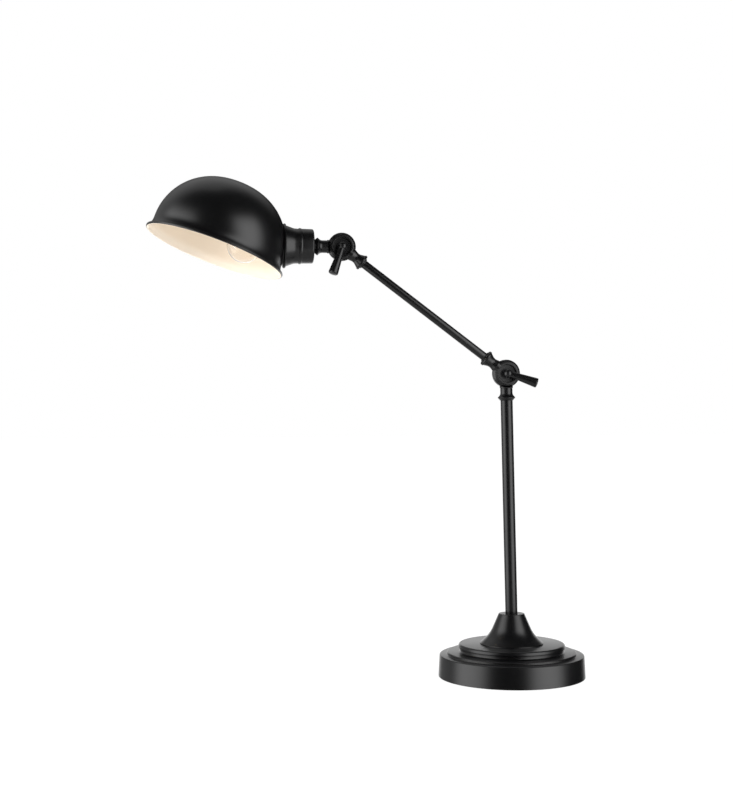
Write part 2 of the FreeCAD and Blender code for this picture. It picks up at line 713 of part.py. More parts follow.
def dome(inset):
    return Part.Face(Part.Wire(dome_outline(inset))).revolve(V(0, 0, 0), Z_AXIS, 360)


def on_head(shape):
    """Carry a piece built in the dome's own frame to the head's frame."""
    copy = turned(shape, Y_AXIS, 90 + DOME_TILT)
    return moved(copy, V(-RIM_DROP, 0, RIM_X))


def shade():
    """Spun dome with an outward rolled edge and a side hole for the lampholder."""
    roll_x = RIM_R - RIM_ROLL_R
    roll = Part.makeTorus(roll_x, RIM_ROLL_R, V(0, 0, 0))
    wall = dome(0).cut(dome(SHADE_T))
    lip = tube(roll_x, SKIRT_R - SHADE_T, 0, RIM_ROLL_R)
    body = wall.fuse(roll).fuse(lip)
    body = body.cut(rod(SKIRT_R - SHADE_T, -2 * RIM_ROLL_R, SKIRT_Z / 2))
    hole = rod(HOLDER_SKIRT_R + SHADE_HOLE_SLACK, FITTER_Z, HOLDER_MOUTH_Z)
    return on_head(body).cut(hole).removeSplitter()


def shade_fitter():
    """Spun neck between cap and shade; its front is trimmed to sit on the dome."""
    bead_end = FITTER_Z + FITTER_BEAD_T
    band_end = bead_end + FITTER_BAND_T
    inner = CAP_R - CAP_WALL - RUNNING - FITTER_WALL
    front = FITTER_RIM_Z + 5 * FITTER_RIM_T
    body = spin([
        (inner, FITTER_Z - CAP_SOCKET_LAP),
        (CAP_R - CAP_WALL - LOOSE, FITTER_Z - CAP_SOCKET_LAP),
        (CAP_R - CAP_WALL - LOOSE, FITTER_Z),
        (CAP_R, FITTER_Z),
        (FITTER_BEAD_R, FITTER_Z + FITTER_BEAD_T / 3, FITTER_BEAD_ROUND),
        (FITTER_BEAD_R, bead_end - FITTER_BEAD_T / 3, FITTER_BEAD_ROUND),
        (FITTER_WAIST_R, bead_end, EDGE_BREAK),
        (FITTER_BAND_R, band_end, FITTER_BAND_FLARE),
        (FITTER_FLARE_R, FITTER_RIM_Z, EDGE_BREAK),
        (FITTER_RIM_R, FITTER_RIM_Z, FITTER_RIM_ROUND),
        (FITTER_RIM_R, FITTER_RIM_Z + FITTER_RIM_T, FITTER_RIM_ROUND),
        (FITTER_SEAT_R, FITTER_RIM_Z + FITTER_RIM_T, EDGE_BREAK),
        (FITTER_SEAT_R, front),
        (HOLDER_SKIRT_R + LOOSE, front),
        (HOLDER_SKIRT_R + LOOSE, band_end),
        (inner, bead_end),
    ])
    trimmed = body.cut(on_head(dome(0)))
    return max(trimmed.Solids, key=lambda piece: piece.Volume)


def lampholder_body():
    """Moulded insulating body: closed back with the pipe entry, open threaded skirt."""
    body = spin([
        (NIPPLE_R + RUNNING, HOLDER_Z),
        (HOLDER_R, HOLDER_Z, HOLDER_BACK_ROUND),
        (HOLDER_R, HOLDER_SKIRT_Z, EDGE_ROUND),
        (HOLDER_SKIRT_R, HOLDER_SKIRT_Z, EDGE_ROUND),
        (HOLDER_SKIRT_R, HOLDER_MOUTH_Z, EDGE_ROUND),
        (HOLDER_CAVITY_R, HOLDER_MOUTH_Z, EDGE_BREAK),
        (HOLDER_CAVITY_R, HOLDER_FLOOR_Z),
        (NIPPLE_R + RUNNING, HOLDER_FLOOR_Z),
    ])
    bush = rod(NIPPLE_R + HOLDER_BUSH_W, HOLDER_FLOOR_Z - HOLDER_BUSH_T, HOLDER_FLOOR_Z)
    body = body.fuse(bush)
    for side in (-1, 1):
        hole = rod(TERMINAL_R + RUNNING, HOLDER_Z - OVERCUT, HOLDER_Z + TERMINAL_LENGTH)
        body = body.cut(moved(hole, V(0, side * TERMINAL_OFFSET, 0)))
    return body.removeSplitter()


def terminal_screws():
    low = HOLDER_Z - TERMINAL_HEAD_T
    shank = rod(TERMINAL_R, low, HOLDER_Z + TERMINAL_LENGTH)
    screw = shank.fuse(rod(TERMINAL_HEAD_R, low, HOLDER_Z))
    return Part.makeCompound([moved(screw, V(0, side * TERMINAL_OFFSET, 0)) for side in (-1, 1)])


def lampholder_shell():
    """Brass screw shell that takes the lamp's cap."""
    outer = HOLDER_CAVITY_R - PRESS_SLIP
    mouth = HOLDER_MOUTH_Z - SCREW_SHELL_SETBACK
    return tube(outer, outer - SCREW_SHELL_T, HOLDER_FLOOR_Z, mouth)


def centre_contact():
    """Sprung tongue under the lamp's tip."""
    high = BULB_TIP_X
    plate = rod(CENTRE_CONTACT_R, high - CENTRE_CONTACT_T, high)
    post = rod(CENTRE_CONTACT_R / 2, HOLDER_FLOOR_Z, high)
    return plate.fuse(post).removeSplitter()


def shade_ring():
    """Threaded ring inside the shade that draws the dome against the fitter."""
    inner = HOLDER_SKIRT_R + RUNNING
    low = FITTER_RIM_Z
    mouth = FITTER_RIM_Z + FITTER_RIM_T + SHADE_RING_T
    ring = spin([
        (inner, low),
        (SHADE_RING_R, low),
        (SHADE_RING_R, mouth, EDGE_SOFT),
        (inner, mouth, EDGE_ROUND),
    ])
    return ring.common(on_head(dome(SHADE_T + RUNNING)))


# ---- lamp ---------------------------------------------------------------------------------------
def bulb_glass():
    """Blown globe with a tubular neck, open where the glass mount closes it."""
    shoulder = BULB_X - math.sqrt(BULB_R ** 2 - GLASS_NECK_R ** 2)
    neck_low = BULB_CAP_END - GLASS_NECK_LAP
    inner_neck = GLASS_NECK_R - GLASS_T
    outside = Part.makeSphere(BULB_R, V(0, 0, BULB_X))
    outside = outside.fuse(rod(GLASS_NECK_R, neck_low, shoulder + OVERCUT))
    inside = Part.makeSphere(BULB_R - GLASS_T, V(0, 0, BULB_X))
    inside = inside.fuse(rod(inner_neck, neck_low - OVERCUT, shoulder + GLASS_T + OVERCUT))
    return outside.cut(inside).removeSplitter()


def bulb_cap():
    """Rolled screw cap over the glass neck."""
    def surface(radius):
        pitch = BULB_THREAD_T / BULB_THREAD_TURNS
        corners = [(radius - BULB_CAP_NOSE, BULB_CAP_X)]
        for i in range(BULB_THREAD_TURNS):
            z = BULB_CAP_X + BULB_THREAD_START + i * pitch
            corners.append((radius - BULB_THREAD_DEPTH, z, EDGE_ROUND))
            corners.append((radius, z + pitch / 2, EDGE_SOFT))
        corners.append((radius - BULB_CAP_WAIST, BULB_CAP_END))
        corners.append((radius, BULB_CAP_END + BULB_CAP_LIP))
        return corners

    return spin(surface(BULB_CAP_R) + surface(BULB_CAP_R - BULB_CAP_WALL)[::-1])


def bulb_insulator():
    """Glass bead that holds the contact in the cap's end."""
    low = BULB_TIP_X + BULB_CONTACT_T
    seat_r = BULB_CAP_R - BULB_CAP_NOSE
    return spin([
        (0, low),
        (BULB_CONTACT_R, low),
        (seat_r, BULB_CAP_X, EDGE_ROUND),
        (seat_r - BULB_INSULATOR_W, BULB_CAP_X + BULB_INSULATOR_SEAT),
        (0, BULB_CAP_X + BULB_INSULATOR_SEAT),
    ])


def bulb_contact():
    return spin([
        (0, BULB_TIP_X),
        (BULB_CONTACT_R - BULB_CONTACT_NOSE, BULB_TIP_X, EDGE_ROUND),
        (BULB_CONTACT_R - BULB_CONTACT_TAPER, BULB_TIP_X + BULB_CONTACT_T),
        (0, BULB_TIP_X + BULB_CONTACT_T),
    ])


def bulb_mount():
    """Pressed glass stem inside the globe."""
    low = BULB_CAP_END - GLASS_NECK_LAP
    wall = GLASS_NECK_R - GLASS_T - PRESS_SLIP
    return spin([
        (0, low),
        (wall, low),
        (wall, low + MOUNT_FLANGE_T, EDGE_BREAK),
        (MOUNT_FOOT_R, low + MOUNT_FOOT_T, MOUNT_FILLET),
        (MOUNT_R, low + MOUNT_T, EDGE_SOFT),
        (0, low + MOUNT_T),
    ])


def bulb_filament():
    """Two lead wires and the arched filament between them."""
    base = BULB_CAP_END - GLASS_NECK_LAP + MOUNT_T + FILAMENT_WIRE_R
    top = base + FILAMENT_RISE
    route = [
        V(0, -MOUNT_R / 2, base),
        V(0, -FILAMENT_HALF_W, top - FILAMENT_WIRE_R),
        V(0, FILAMENT_HALF_W, top - FILAMENT_WIRE_R),
        V(0, MOUNT_R / 2, base),
    ]
    left = Part.LineSegment(route[0], route[1]).toShape()
    arch = Part.Arc(route[1], V(0, 0, top + FILAMENT_HALF_W / 2), route[2]).toShape()
    right = Part.LineSegment(route[2], route[3]).toShape()
    pieces = []
    for edge in (left, arch, right):
        start = edge.valueAt(edge.FirstParameter)
        heading = edge.tangentAt(edge.FirstParameter)
        ring = Part.Wire(Part.makeCircle(FILAMENT_WIRE_R, start, heading))
        pieces.append(Part.Wire(edge).makePipeShell([ring], True, False))
    joints = [Part.makeSphere(FILAMENT_CLAMP_R, point) for point in route[1:3]]
    body = pieces[0]
    for piece in pieces[1:] + joints:
        body = body.fuse(piece)
    return body.removeSplitter()


def head_piece(shape):
    """Carry a piece built along the lampholder axis to the lamp."""
    rolled = turned(shape, Z_AXIS, SHADE_ROLL)
    return moved(turned(rolled, Y_AXIS, HEAD_TURN), UPPER_PIVOT)


def main():
    os.makedirs("parts", exist_ok=True)
    save("felt_pad", felt_pad())
    save("base_shell", base_shell())
    save("base_weight", base_weight())
    save("cord_grommet", cord_grommet())
    save("base_cone", base_cone())
    save("threaded_nipple", threaded_nipple())
    save("base_flat_washer", base_flat_washer())
    save("base_lock_washer", base_lock_washer())
    save("base_nut", base_nut())
    save("stem_plug", stem_plug())
    save("stem_tube", stem_tube())

    stem_spigot = STEM_R - STEM_WALL - PRESS_SLIP
    arm_spigot = ARM_R - ARM_WALL - PRESS_SLIP
    head_socket = NIPPLE_R + RUNNING
    stem_half = knuckle_half(post_neck(), POST_END, stem_spigot, 0, True)
    head_half = knuckle_half(post_neck(), POST_END, 0, head_socket, True)
    arm_half = knuckle_half(arm_neck(), ARM_END, arm_spigot, 0, False)
    save("stem_knuckle_half", at_joint(stem_half, HALF_TURN - STEM_LEAN, LOWER_PIVOT))
    save("arm_lower_knuckle_half", at_joint(arm_half, ARM_TURN, LOWER_PIVOT))
    save("arm_upper_knuckle_half", at_joint(arm_half, ARM_TURN + HALF_TURN, UPPER_PIVOT))
    save("head_knuckle_half", at_joint(head_half, HEAD_TURN, UPPER_PIVOT))
    save("arm_tube", at_joint(arm_tube(), ARM_TURN, LOWER_PIVOT))

    joints = (("lower", LOWER_PIVOT, LOWER_LEVER_TURN), ("upper", UPPER_PIVOT, UPPER_LEVER_TURN))
    for name, pivot, lever_turn in joints:
        save(name + "_pivot_screw", at_joint(pivot_screw(), 0, pivot))
        save(name + "_friction_washer", at_joint(friction_washer(), 0, pivot))
        save(name + "_lever_washer", at_joint(lever_washer(), 0, pivot))
        save(name + "_lever", at_joint(clamp_lever(), lever_turn, pivot))

    head_makers = (
        neck_ring, head_nipple, socket_cap, lock_nut, shade_fitter, shade, shade_ring,
        lampholder_body, lampholder_shell, terminal_screws, centre_contact,
        bulb_glass, bulb_cap, bulb_insulator, bulb_contact, bulb_mount, bulb_filament,
    )
    for maker in head_makers:
        save(maker.__name__, head_piece(maker()))


main()
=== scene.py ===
import json
import math

import bmesh
import bpy
from mathutils import Matrix, Vector


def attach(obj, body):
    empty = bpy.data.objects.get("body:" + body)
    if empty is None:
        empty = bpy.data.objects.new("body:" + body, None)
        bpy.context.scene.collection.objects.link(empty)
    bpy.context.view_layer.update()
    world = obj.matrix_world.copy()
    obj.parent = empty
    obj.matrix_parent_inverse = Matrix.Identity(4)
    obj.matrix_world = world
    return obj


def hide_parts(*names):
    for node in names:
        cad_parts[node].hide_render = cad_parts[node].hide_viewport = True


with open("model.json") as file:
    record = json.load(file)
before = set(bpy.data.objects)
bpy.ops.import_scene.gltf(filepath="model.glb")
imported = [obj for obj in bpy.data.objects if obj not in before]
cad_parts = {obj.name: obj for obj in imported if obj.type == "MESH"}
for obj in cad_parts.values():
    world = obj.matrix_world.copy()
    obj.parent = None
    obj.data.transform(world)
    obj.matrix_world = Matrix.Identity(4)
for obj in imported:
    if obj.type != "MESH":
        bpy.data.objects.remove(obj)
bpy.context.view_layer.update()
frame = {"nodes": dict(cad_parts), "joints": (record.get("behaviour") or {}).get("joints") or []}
nodes = frame["nodes"]
scene = bpy.context.scene

# ---- camera --------------------------------------------------------------------------------------
# A long lens on a tripod, a third of a metre above the table and under two metres off. It stands a
# little to the left of square on to the arm, and leans a fifth of a degree.
CAMERA_PLACE = Vector((-0.43674, -1.78613, 0.35819))
LOOK_AZIMUTH = math.radians(7.882)
LOOK_RISE = math.radians(0.044)
LOOK_ROLL = math.radians(-0.181)
SENSOR_MM, LENS_MM = 36.0, 69.07
NEAREST, FURTHEST = 0.05, 60.0

camera = bpy.data.objects.new("camera", bpy.data.cameras.new("camera"))
scene.collection.objects.link(camera)
scene.camera = camera
camera.data.sensor_fit = "HORIZONTAL"
camera.data.sensor_width = SENSOR_MM
camera.data.lens = LENS_MM
camera.data.clip_start = NEAREST
camera.data.clip_end = FURTHEST
ahead = Vector((
    math.sin(LOOK_AZIMUTH) * math.cos(LOOK_RISE),
    math.cos(LOOK_AZIMUTH) * math.cos(LOOK_RISE),
    math.sin(LOOK_RISE),
))
sideways = ahead.cross(Vector((0, 0, 1))).normalized()
plumb = sideways.cross(ahead)
right = sideways * math.cos(LOOK_ROLL) + plumb * math.sin(LOOK_ROLL)
upward = plumb * math.cos(LOOK_ROLL) - sideways * math.sin(LOOK_ROLL)
axes = Matrix((right, upward, -ahead)).transposed().to_4x4()
camera.matrix_world = Matrix.Translation(CAMERA_PLACE) @ axes


# ---- studio: surroundings ------------------------------------------------------------------------
# A dark room with a grey wall behind on the left, a paler ceiling above toward the back and the table
# below. Only mirror images on the lamp show them: other light is an even fill, and the view is white.
def srgb(code, alpha=1.0):
    """Linear colour of an sRGB hex code."""
    shares = [int(code[i:i + 2], 16) / 255 for i in (1, 3, 5)]
    linear = [s / 12.92 if s <= 0.04045 else ((s + 0.055) / 1.055) ** 2.4 for s in shares]
    return (*linear, alpha)


def add(tree, kind, settings=None, **sockets):
    """Add a shader or geometry node; a socket's name has _ for spaces, and a link or a value."""
    node = tree.nodes.new(kind)
    for key, value in (settings or {}).items():
        setattr(node, key, value)
    for key, value in sockets.items():
        name = key.replace("_", " ")
        place = int(name[2:]) if name.startswith("at") and name[2:].isdigit() else name
        if isinstance(value, bpy.types.NodeSocket):
            tree.links.new(value, node.inputs[place])
        else:
            node.inputs[place].default_value = value
    return node


def ramp(tree, value, low, high, start, end):
    """Smooth change from start to end while the value goes from low to high."""
    return add(tree, "ShaderNodeMapRange", {"interpolation_type": "SMOOTHSTEP"}, Value=value,
               From_Min=low, From_Max=high, To_Min=start, To_Max=end).outputs["Result"]


def calc(tree, operation, *values):
    """One number from others."""
    return add(tree, "ShaderNodeMath", {"operation": operation},
               **{"at%d" % i: value for i, value in enumerate(values)}).outputs[0]


def level_heading(tree, position):
    """The position's direction seen from above, of length one."""
    flat = add(tree, "ShaderNodeVectorMath", {"operation": "MULTIPLY"}, at0=position, at1=(1, 1, 0))
    unit = add(tree, "ShaderNodeVectorMath", {"operation": "NORMALIZE"}, at0=flat.outputs["Vector"])
    return unit.outputs["Vector"]


def panel(tree, heading, bearing, half_width, edge, strength):
    """An upright light of some strength, its bearing in degrees from the front, fading at its edges."""
    middle = (math.sin(math.radians(bearing)), -math.cos(math.radians(bearing)), 0)
    toward = add(tree, "ShaderNodeVectorMath", {"operation": "DOT_PRODUCT"}, at0=heading, at1=middle)
    outside = math.cos(math.radians(half_width + edge))
    return ramp(tree, toward.outputs["Value"], outside, math.cos(math.radians(half_width)), 0.0, strength)


# bearing, half width and fading edge in degrees, and brightness where paper white is 1
SIDE_WALL = (-130.0, 15.0, 30.0, 0.35)
CEILING = (-172.0, 25.0, 50.0, 0.6)
ROOM_DARK = 0.01
TABLE_GREY = 0.55
FILL_LEVEL = 0.75
# where each fades, by the rise of the direction, from -1 straight down to 1 straight up
WALL_TOP = (0.3, 0.65)
WALL_FOOT = (-0.65, -0.35)
CEILING_EDGE = (0.3, 0.7)
TABLE_EDGE = (-0.6, -0.25)

world = bpy.data.worlds.new("dark room")
scene.world = world
world.use_nodes = True
tree = world.node_tree
tree.nodes.clear()
direction = add(tree, "ShaderNodeTexCoord").outputs["Generated"]
height = add(tree, "ShaderNodeSeparateXYZ", Vector=direction).outputs["Z"]
heading = level_heading(tree, direction)
walls = calc(tree, "ADD", panel(tree, heading, *SIDE_WALL), ROOM_DARK)
walls = calc(tree, "MULTIPLY", walls, ramp(tree, height, *WALL_TOP, 1.0, 0.0))
walls = calc(tree, "MULTIPLY", walls, ramp(tree, height, *WALL_FOOT, 0.0, 1.0))
ceiling = calc(tree, "MULTIPLY", panel(tree, heading, *CEILING), ramp(tree, height, *CEILING_EDGE, 0.0, 1.0))
table = ramp(tree, height, *TABLE_EDGE, TABLE_GREY, 0.0)
mirrored = calc(tree, "ADD", calc(tree, "ADD", walls, ceiling), table)
path = add(tree, "ShaderNodeLightPath")
seen = calc(tree, "MAXIMUM", path.outputs["Is Camera Ray"], path.outputs["Is Transmission Ray"])
around = add(tree, "ShaderNodeMix", {"data_type": "FLOAT"}, Factor=path.outputs["Is Glossy Ray"],
             A=FILL_LEVEL, B=mirrored)
strength = add(tree, "ShaderNodeMix", {"data_type": "FLOAT"}, Factor=seen, A=around.outputs["Result"], B=1.0)
room = add(tree, "ShaderNodeBackground", Color=(1, 1, 1, 1), Strength=strength.outputs["Result"])
add(tree, "ShaderNodeOutputWorld", Surface=room.outputs[0])

# ---- studio: floor -------------------------------------------------------------------------------
# Matt white paper that carries the lamp's shadow. It is clear to mirror images, which show the
# table of the surroundings instead.
FLOOR_WHITE = srgb("#f4f4f4")
FLOOR_GLOW = 1.07
SHADOW_SHARE = 0.12
FLOOR_REACH = 12.0
floor_mesh = bpy.data.meshes.new("floor")
floor_mesh.from_pydata(
    [(x * FLOOR_REACH, y * FLOOR_REACH, 0) for x, y in ((-1, -1), (1, -1), (1, 1), (-1, 1))],
    [], [(0, 1, 2, 3)],
)
floor = bpy.data.objects.new("floor", floor_mesh)
scene.collection.objects.link(floor)

paper = bpy.data.materials.new("white paper sweep")
paper.use_nodes = True
tree = paper.node_tree
tree.nodes.clear()
path = add(tree, "ShaderNodeLightPath")
matt = add(tree, "ShaderNodeBsdfDiffuse", Color=FLOOR_WHITE)
open_below = add(tree, "ShaderNodeBsdfTransparent", Color=(1, 1, 1, 1))
white = add(tree, "ShaderNodeEmission", Strength=FLOOR_GLOW)
seen = calc(tree, "MAXIMUM", path.outputs["Is Camera Ray"], path.outputs["Is Transmission Ray"])
unseen = add(tree, "ShaderNodeMixShader", at0=path.outputs["Is Glossy Ray"], at1=matt.outputs[0],
             at2=open_below.outputs[0])
shown = add(tree, "ShaderNodeMixShader", at0=SHADOW_SHARE, at1=white.outputs[0], at2=matt.outputs[0])
whole = add(tree, "ShaderNodeMixShader", at0=seen, at1=unseen.outputs[0], at2=shown.outputs[0])
add(tree, "ShaderNodeOutputMaterial", Surface=whole.outputs[0])
floor_mesh.materials.append(paper)

# ---- studio: soft boxes and backdrop -------------------------------------------------------------
# Two tall soft boxes stand left and right of the lamp, and a weaker one hangs above. They make no
# mirror image: a clear drum two metres off carries soft-edged ones of the two tall boxes, and of a low
# white backdrop behind.

# bearing, half width and fading edge in degrees, and brightness
BOX_RIGHT = (43.0, 1.0, 35.0, 3.1)
BOX_LEFT = (-80.0, 1.0, 35.0, 2.9)
BACKDROP = (166.0, 18.0, 18.0, 1.4)
# heights in metres between which each fades out upward, and all of them downward
RIGHT_TOP = (1.4, 2.5)
LEFT_TOP = (1.2, 2.3)
BACKDROP_TOP = (0.4, 0.8)
IMAGE_FOOT = (-1.0, -0.45)
DRUM_R, DRUM_LOW, DRUM_HIGH, DRUM_SIDES = 2.0, -1.0, 2.5, 96
drum_mesh = bpy.data.meshes.new("soft_box_images")
turns = [2 * math.pi * i / DRUM_SIDES for i in range(DRUM_SIDES)]
drum_mesh.from_pydata(
    [(DRUM_R * math.cos(a), DRUM_R * math.sin(a), z) for z in (DRUM_LOW, DRUM_HIGH) for a in turns], [],
    [(i, DRUM_SIDES + i, DRUM_SIDES + (i + 1) % DRUM_SIDES, (i + 1) % DRUM_SIDES) for i in range(DRUM_SIDES)],
)
drum = bpy.data.objects.new("soft_box_images", drum_mesh)
scene.collection.objects.link(drum)
drum.visible_camera = drum.visible_diffuse = drum.visible_transmission = drum.visible_shadow = False

glow = bpy.data.materials.new("soft box cloth")
glow.use_nodes = True
tree = glow.node_tree
tree.nodes.clear()
place = add(tree, "ShaderNodeTexCoord").outputs["Object"]
height = add(tree, "ShaderNodeSeparateXYZ", Vector=place).outputs["Z"]
heading = level_heading(tree, place)
boxes = 0.0
for box, top in ((BOX_RIGHT, RIGHT_TOP), (BOX_LEFT, LEFT_TOP), (BACKDROP, BACKDROP_TOP)):
    image = calc(tree, "MULTIPLY", panel(tree, heading, *box), ramp(tree, height, *top, 1.0, 0.0))
    boxes = calc(tree, "ADD", boxes, image)
boxes = calc(tree, "MULTIPLY", boxes, ramp(tree, height, *IMAGE_FOOT, 0.0, 1.0))
lit = add(tree, "ShaderNodeAddShader", at0=add(tree, "ShaderNodeEmission", Strength=boxes).outputs[0],
          at1=add(tree, "ShaderNodeBsdfTransparent", Color=(1, 1, 1, 1)).outputs[0])
add(tree, "ShaderNodeOutputMaterial", Surface=lit.outputs[0])
drum_mesh.materials.append(glow)

# name, place, point it faces, width, height, watts
SOFT_BOXES = (
    ("soft_box_left", (-2.17, -0.38, 0.5), (-0.15, 0.0, 0.35), 0.5, 1.5, 28.0),
    ("soft_box_right", (1.51, -1.31, 0.5), (-0.15, 0.0, 0.35), 0.5, 1.5, 28.0),
    ("soft_box_top", (-0.3, 0.3, 2.0), (-0.2, 0.0, 0.3), 1.2, 0.8, 10.0),
)
for name, place, target, width, length, power in SOFT_BOXES:
    light = bpy.data.lights.new(name, "AREA")
    light.shape = "RECTANGLE"
    light.size, light.size_y = width, length
    light.energy = power
    soft_box = bpy.data.objects.new(name, light)
    scene.collection.objects.link(soft_box)
    soft_box.location = place
    soft_box.rotation_euler = (Vector(target) - Vector(place)).to_track_quat("-Z", "Y").to_euler()
    soft_box.visible_camera = False
    soft_box.visible_glossy = False

scene.view_settings.view_transform = "Standard"


# ---- felt pad ------------------------------------------------------------------------------------
# Pressed wool felt disc, 1.5 mm thick, glued under the base to spare the table. It is dead matt, with
# a short random fibre.
def new_material(name):
    """A new material and its node tree, emptied."""
    material = bpy.data.materials.new(name)
    material.use_nodes = True
    material.node_tree.nodes.clear()
    return material, material.node_tree


def finish_surface(tree, surface, height=None, depth=0.0):
    """Close a material with a Principled surface and, where given, a relief of that depth in metres."""
    shader = add(tree, "ShaderNodeBsdfPrincipled", **surface)
    if height is not None:
        bump = add(tree, "ShaderNodeBump", Height=height, Distance=depth, Strength=1.0)
        tree.links.new(bump.outputs["Normal"], shader.inputs["Normal"])
    add(tree, "ShaderNodeOutputMaterial", Surface=shader.outputs[0])


MILLIMETRE_GRAIN = 500.0    # noise scale, per metre, whose grains are a millimetre across
NOISE_LOW, NOISE_HIGH = 0.3, 0.7


def grain(tree, size_mm, detail=2.0, stretch=(1, 1, 1)):
    """Noise value whose grains are about size_mm across on the object."""
    place = add(tree, "ShaderNodeTexCoord").outputs["Object"]
    scaled = add(tree, "ShaderNodeMapping", Vector=place, Scale=stretch)
    noise = add(tree, "ShaderNodeTexNoise", Vector=scaled.outputs[0], Scale=MILLIMETRE_GRAIN / size_mm,
                Detail=detail)
    return noise.outputs["Fac"]


def blend_colours(tree, share, low, high):
    """Colour that runs from low to high with the share."""
    mix = add(tree, "ShaderNodeMix", {"data_type": "RGBA"}, Factor=share)
    mix.inputs[6].default_value = low
    mix.inputs[7].default_value = high
    return mix.outputs[2]


def spread(tree, value, low, high):
    """The noise value's middle stretched over low to high."""
    return add(tree, "ShaderNodeMapRange", Value=value, From_Min=NOISE_LOW, From_Max=NOISE_HIGH,
               To_Min=low, To_Max=high).outputs["Result"]


def dress(name, material):
    """Give a CAD node its material."""
    slots = nodes[name].data.materials
    slots.clear()
    slots.append(material)


felt, tree = new_material("black wool felt")
fibre = grain(tree, 0.6, 4.0)
finish_surface(tree, dict(
    Base_Color=blend_colours(tree, spread(tree, fibre, 0, 1), srgb("#151516"), srgb("#262628")),
    Roughness=0.95, Sheen_Weight=0.4, Sheen_Roughness=0.6,
), fibre, 0.0003)
dress("felt_pad", felt)


# ---- base: spun shell ----------------------------------------------------------------------------
# Steel sheet of 1.2 mm spun over a former: a nearly straight side wall and three shallow steps, the
# top one edged with a fat rolled bead over a hollow. It is lacquered satin black like the rest of the
# lamp, and the lead's hole is at the back.
POINT_GAP = 1e-6            # points closer than this, in mm, are one
MOST_OF_AN_EDGE = 0.49      # share of an edge that one rounding may take
ARC_STEP = 6                # degrees


def outline(corners, parts=6):
    """Points of a closed outline of (radius, height, rounding) corners, in mm.

    A rounding is an arc of at most so many parts.
    """
    points = [Vector(c[:2]) for c in corners]
    route = []
    count = len(points)
    for i, corner in enumerate(points):
        radius = corners[i][2] if len(corners[i]) > 2 else 0
        back = points[i - 1] - corner
        forth = points[(i + 1) % count] - corner
        if radius <= 0 or back.length < POINT_GAP or forth.length < POINT_GAP:
            route.append(corner)
            continue
        half = back.angle(forth) / 2
        longest = MOST_OF_AN_EDGE * min(back.length, forth.length)
        reach = min(radius / math.tan(half), longest)
        radius = reach * math.tan(half)
        start = corner + back.normalized() * reach
        end = corner + forth.normalized() * reach
        centre = corner + (back.normalized() + forth.normalized()).normalized() * (radius / math.sin(half))
        sweep = math.pi - 2 * half
        steps = max(2, min(parts, math.ceil(math.degrees(sweep) / ARC_STEP)))
        first = start - centre
        turn = 1 if first.x * (end - centre).y - first.y * (end - centre).x > 0 else -1
        for k in range(steps + 1):
            angle = turn * sweep * k / steps
            route.append(centre + Vector((
                first.x * math.cos(angle) - first.y * math.sin(angle),
                first.x * math.sin(angle) + first.y * math.cos(angle),
            )))
    return [(max(p.x, 0.0), p.y) for p in route]


def turned(route, steps, second_finish=None):
    """Closed mesh of an outline turned round Z, in mm; one stretch of it may take the second material."""
    shape = bmesh.new()
    rings = []
    for radius, height in route:
        if radius < POINT_GAP:
            rings.append([shape.verts.new((0, 0, height))] * steps)
        else:
            angles = [2 * math.pi * i / steps for i in range(steps)]
            around = [(radius * math.cos(a), radius * math.sin(a), height) for a in angles]
            rings.append([shape.verts.new(point) for point in around])
    for k, this in enumerate(rings):
        following = rings[(k + 1) % len(rings)]
        for i in range(steps):
            j = (i + 1) % steps
            loop = list(dict.fromkeys((this[i], this[j], following[j], following[i])))
            if len(loop) > 2:
                face = shape.faces.new(loop)
                second = second_finish and second_finish[0] <= k < second_finish[1]
                face.material_index = 1 if second else 0
    bmesh.ops.recalc_face_normals(shape, faces=shape.faces)
    return shape


SMOOTH_UP_TO = math.radians(32)


def piece(name, shape, place, materials, sharp=SMOOTH_UP_TO):
    """Object of a bmesh in mm, put in place in metres and smoothed up to an angle."""
    shape.transform(place @ Matrix.Scale(0.001, 4))
    mesh = bpy.data.meshes.new(name)
    shape.to_mesh(mesh)
    shape.free()
    for material in materials:
        mesh.materials.append(material)
    mesh.shade_smooth()
    mesh.set_sharp_from_angle(angle=sharp)
    made = bpy.data.objects.new(name, mesh)
    scene.collection.objects.link(made)
    return made


def carve(target, tool, operation="DIFFERENCE"):
    """Cut the tool out of the target, or join or cross them, for good, and drop the tool."""
    cut = target.modifiers.new("cut", "BOOLEAN")
    cut.operation = operation
    cut.solver = "EXACT"
    cut.object = tool
    bpy.context.view_layer.update()
    mesh = bpy.data.meshes.new_from_object(target.evaluated_get(bpy.context.evaluated_depsgraph_get()))
    mesh.name = target.data.name
    target.modifiers.clear()
    target.data = mesh
    mesh.shade_smooth()
    mesh.set_sharp_from_angle(angle=SMOOTH_UP_TO)
    bpy.data.objects.remove(tool)


def rod(name, radius, low, high, place, steps=64):
    """Plain cylinder along Z in mm, used as a cutter or a core."""
    return piece(name, turned([(0, low), (radius, low), (radius, high), (0, high)], steps), place, [])


HERE = Matrix.Identity(4)

lacquer, tree = new_material("satin black stoved lacquer on metal")
# Sprayed and stoved enamel: nearly black, soft sheen, and a faint ripple of about 3 mm.
ripple = grain(tree, 3.0, 1.0)
cloud = grain(tree, 40.0, 2.0)
finish_surface(tree, dict(
    Base_Color=blend_colours(tree, cloud, srgb("#070708"), srgb("#0a0a0b")),
    Roughness=spread(tree, cloud, 0.28, 0.33), IOR=1.5,
), ripple, 0.000004)

SHEET_T = 1.2
TOP_STEP_Z = 42.7           # where the cone stands
FOOT_R, FOOT_Z = 95.0, 0.8
PIPE_WAY_R = 5.3
INLET_Z, INLET_R, INLET_REACH = 9.0, 5.35, 15.0
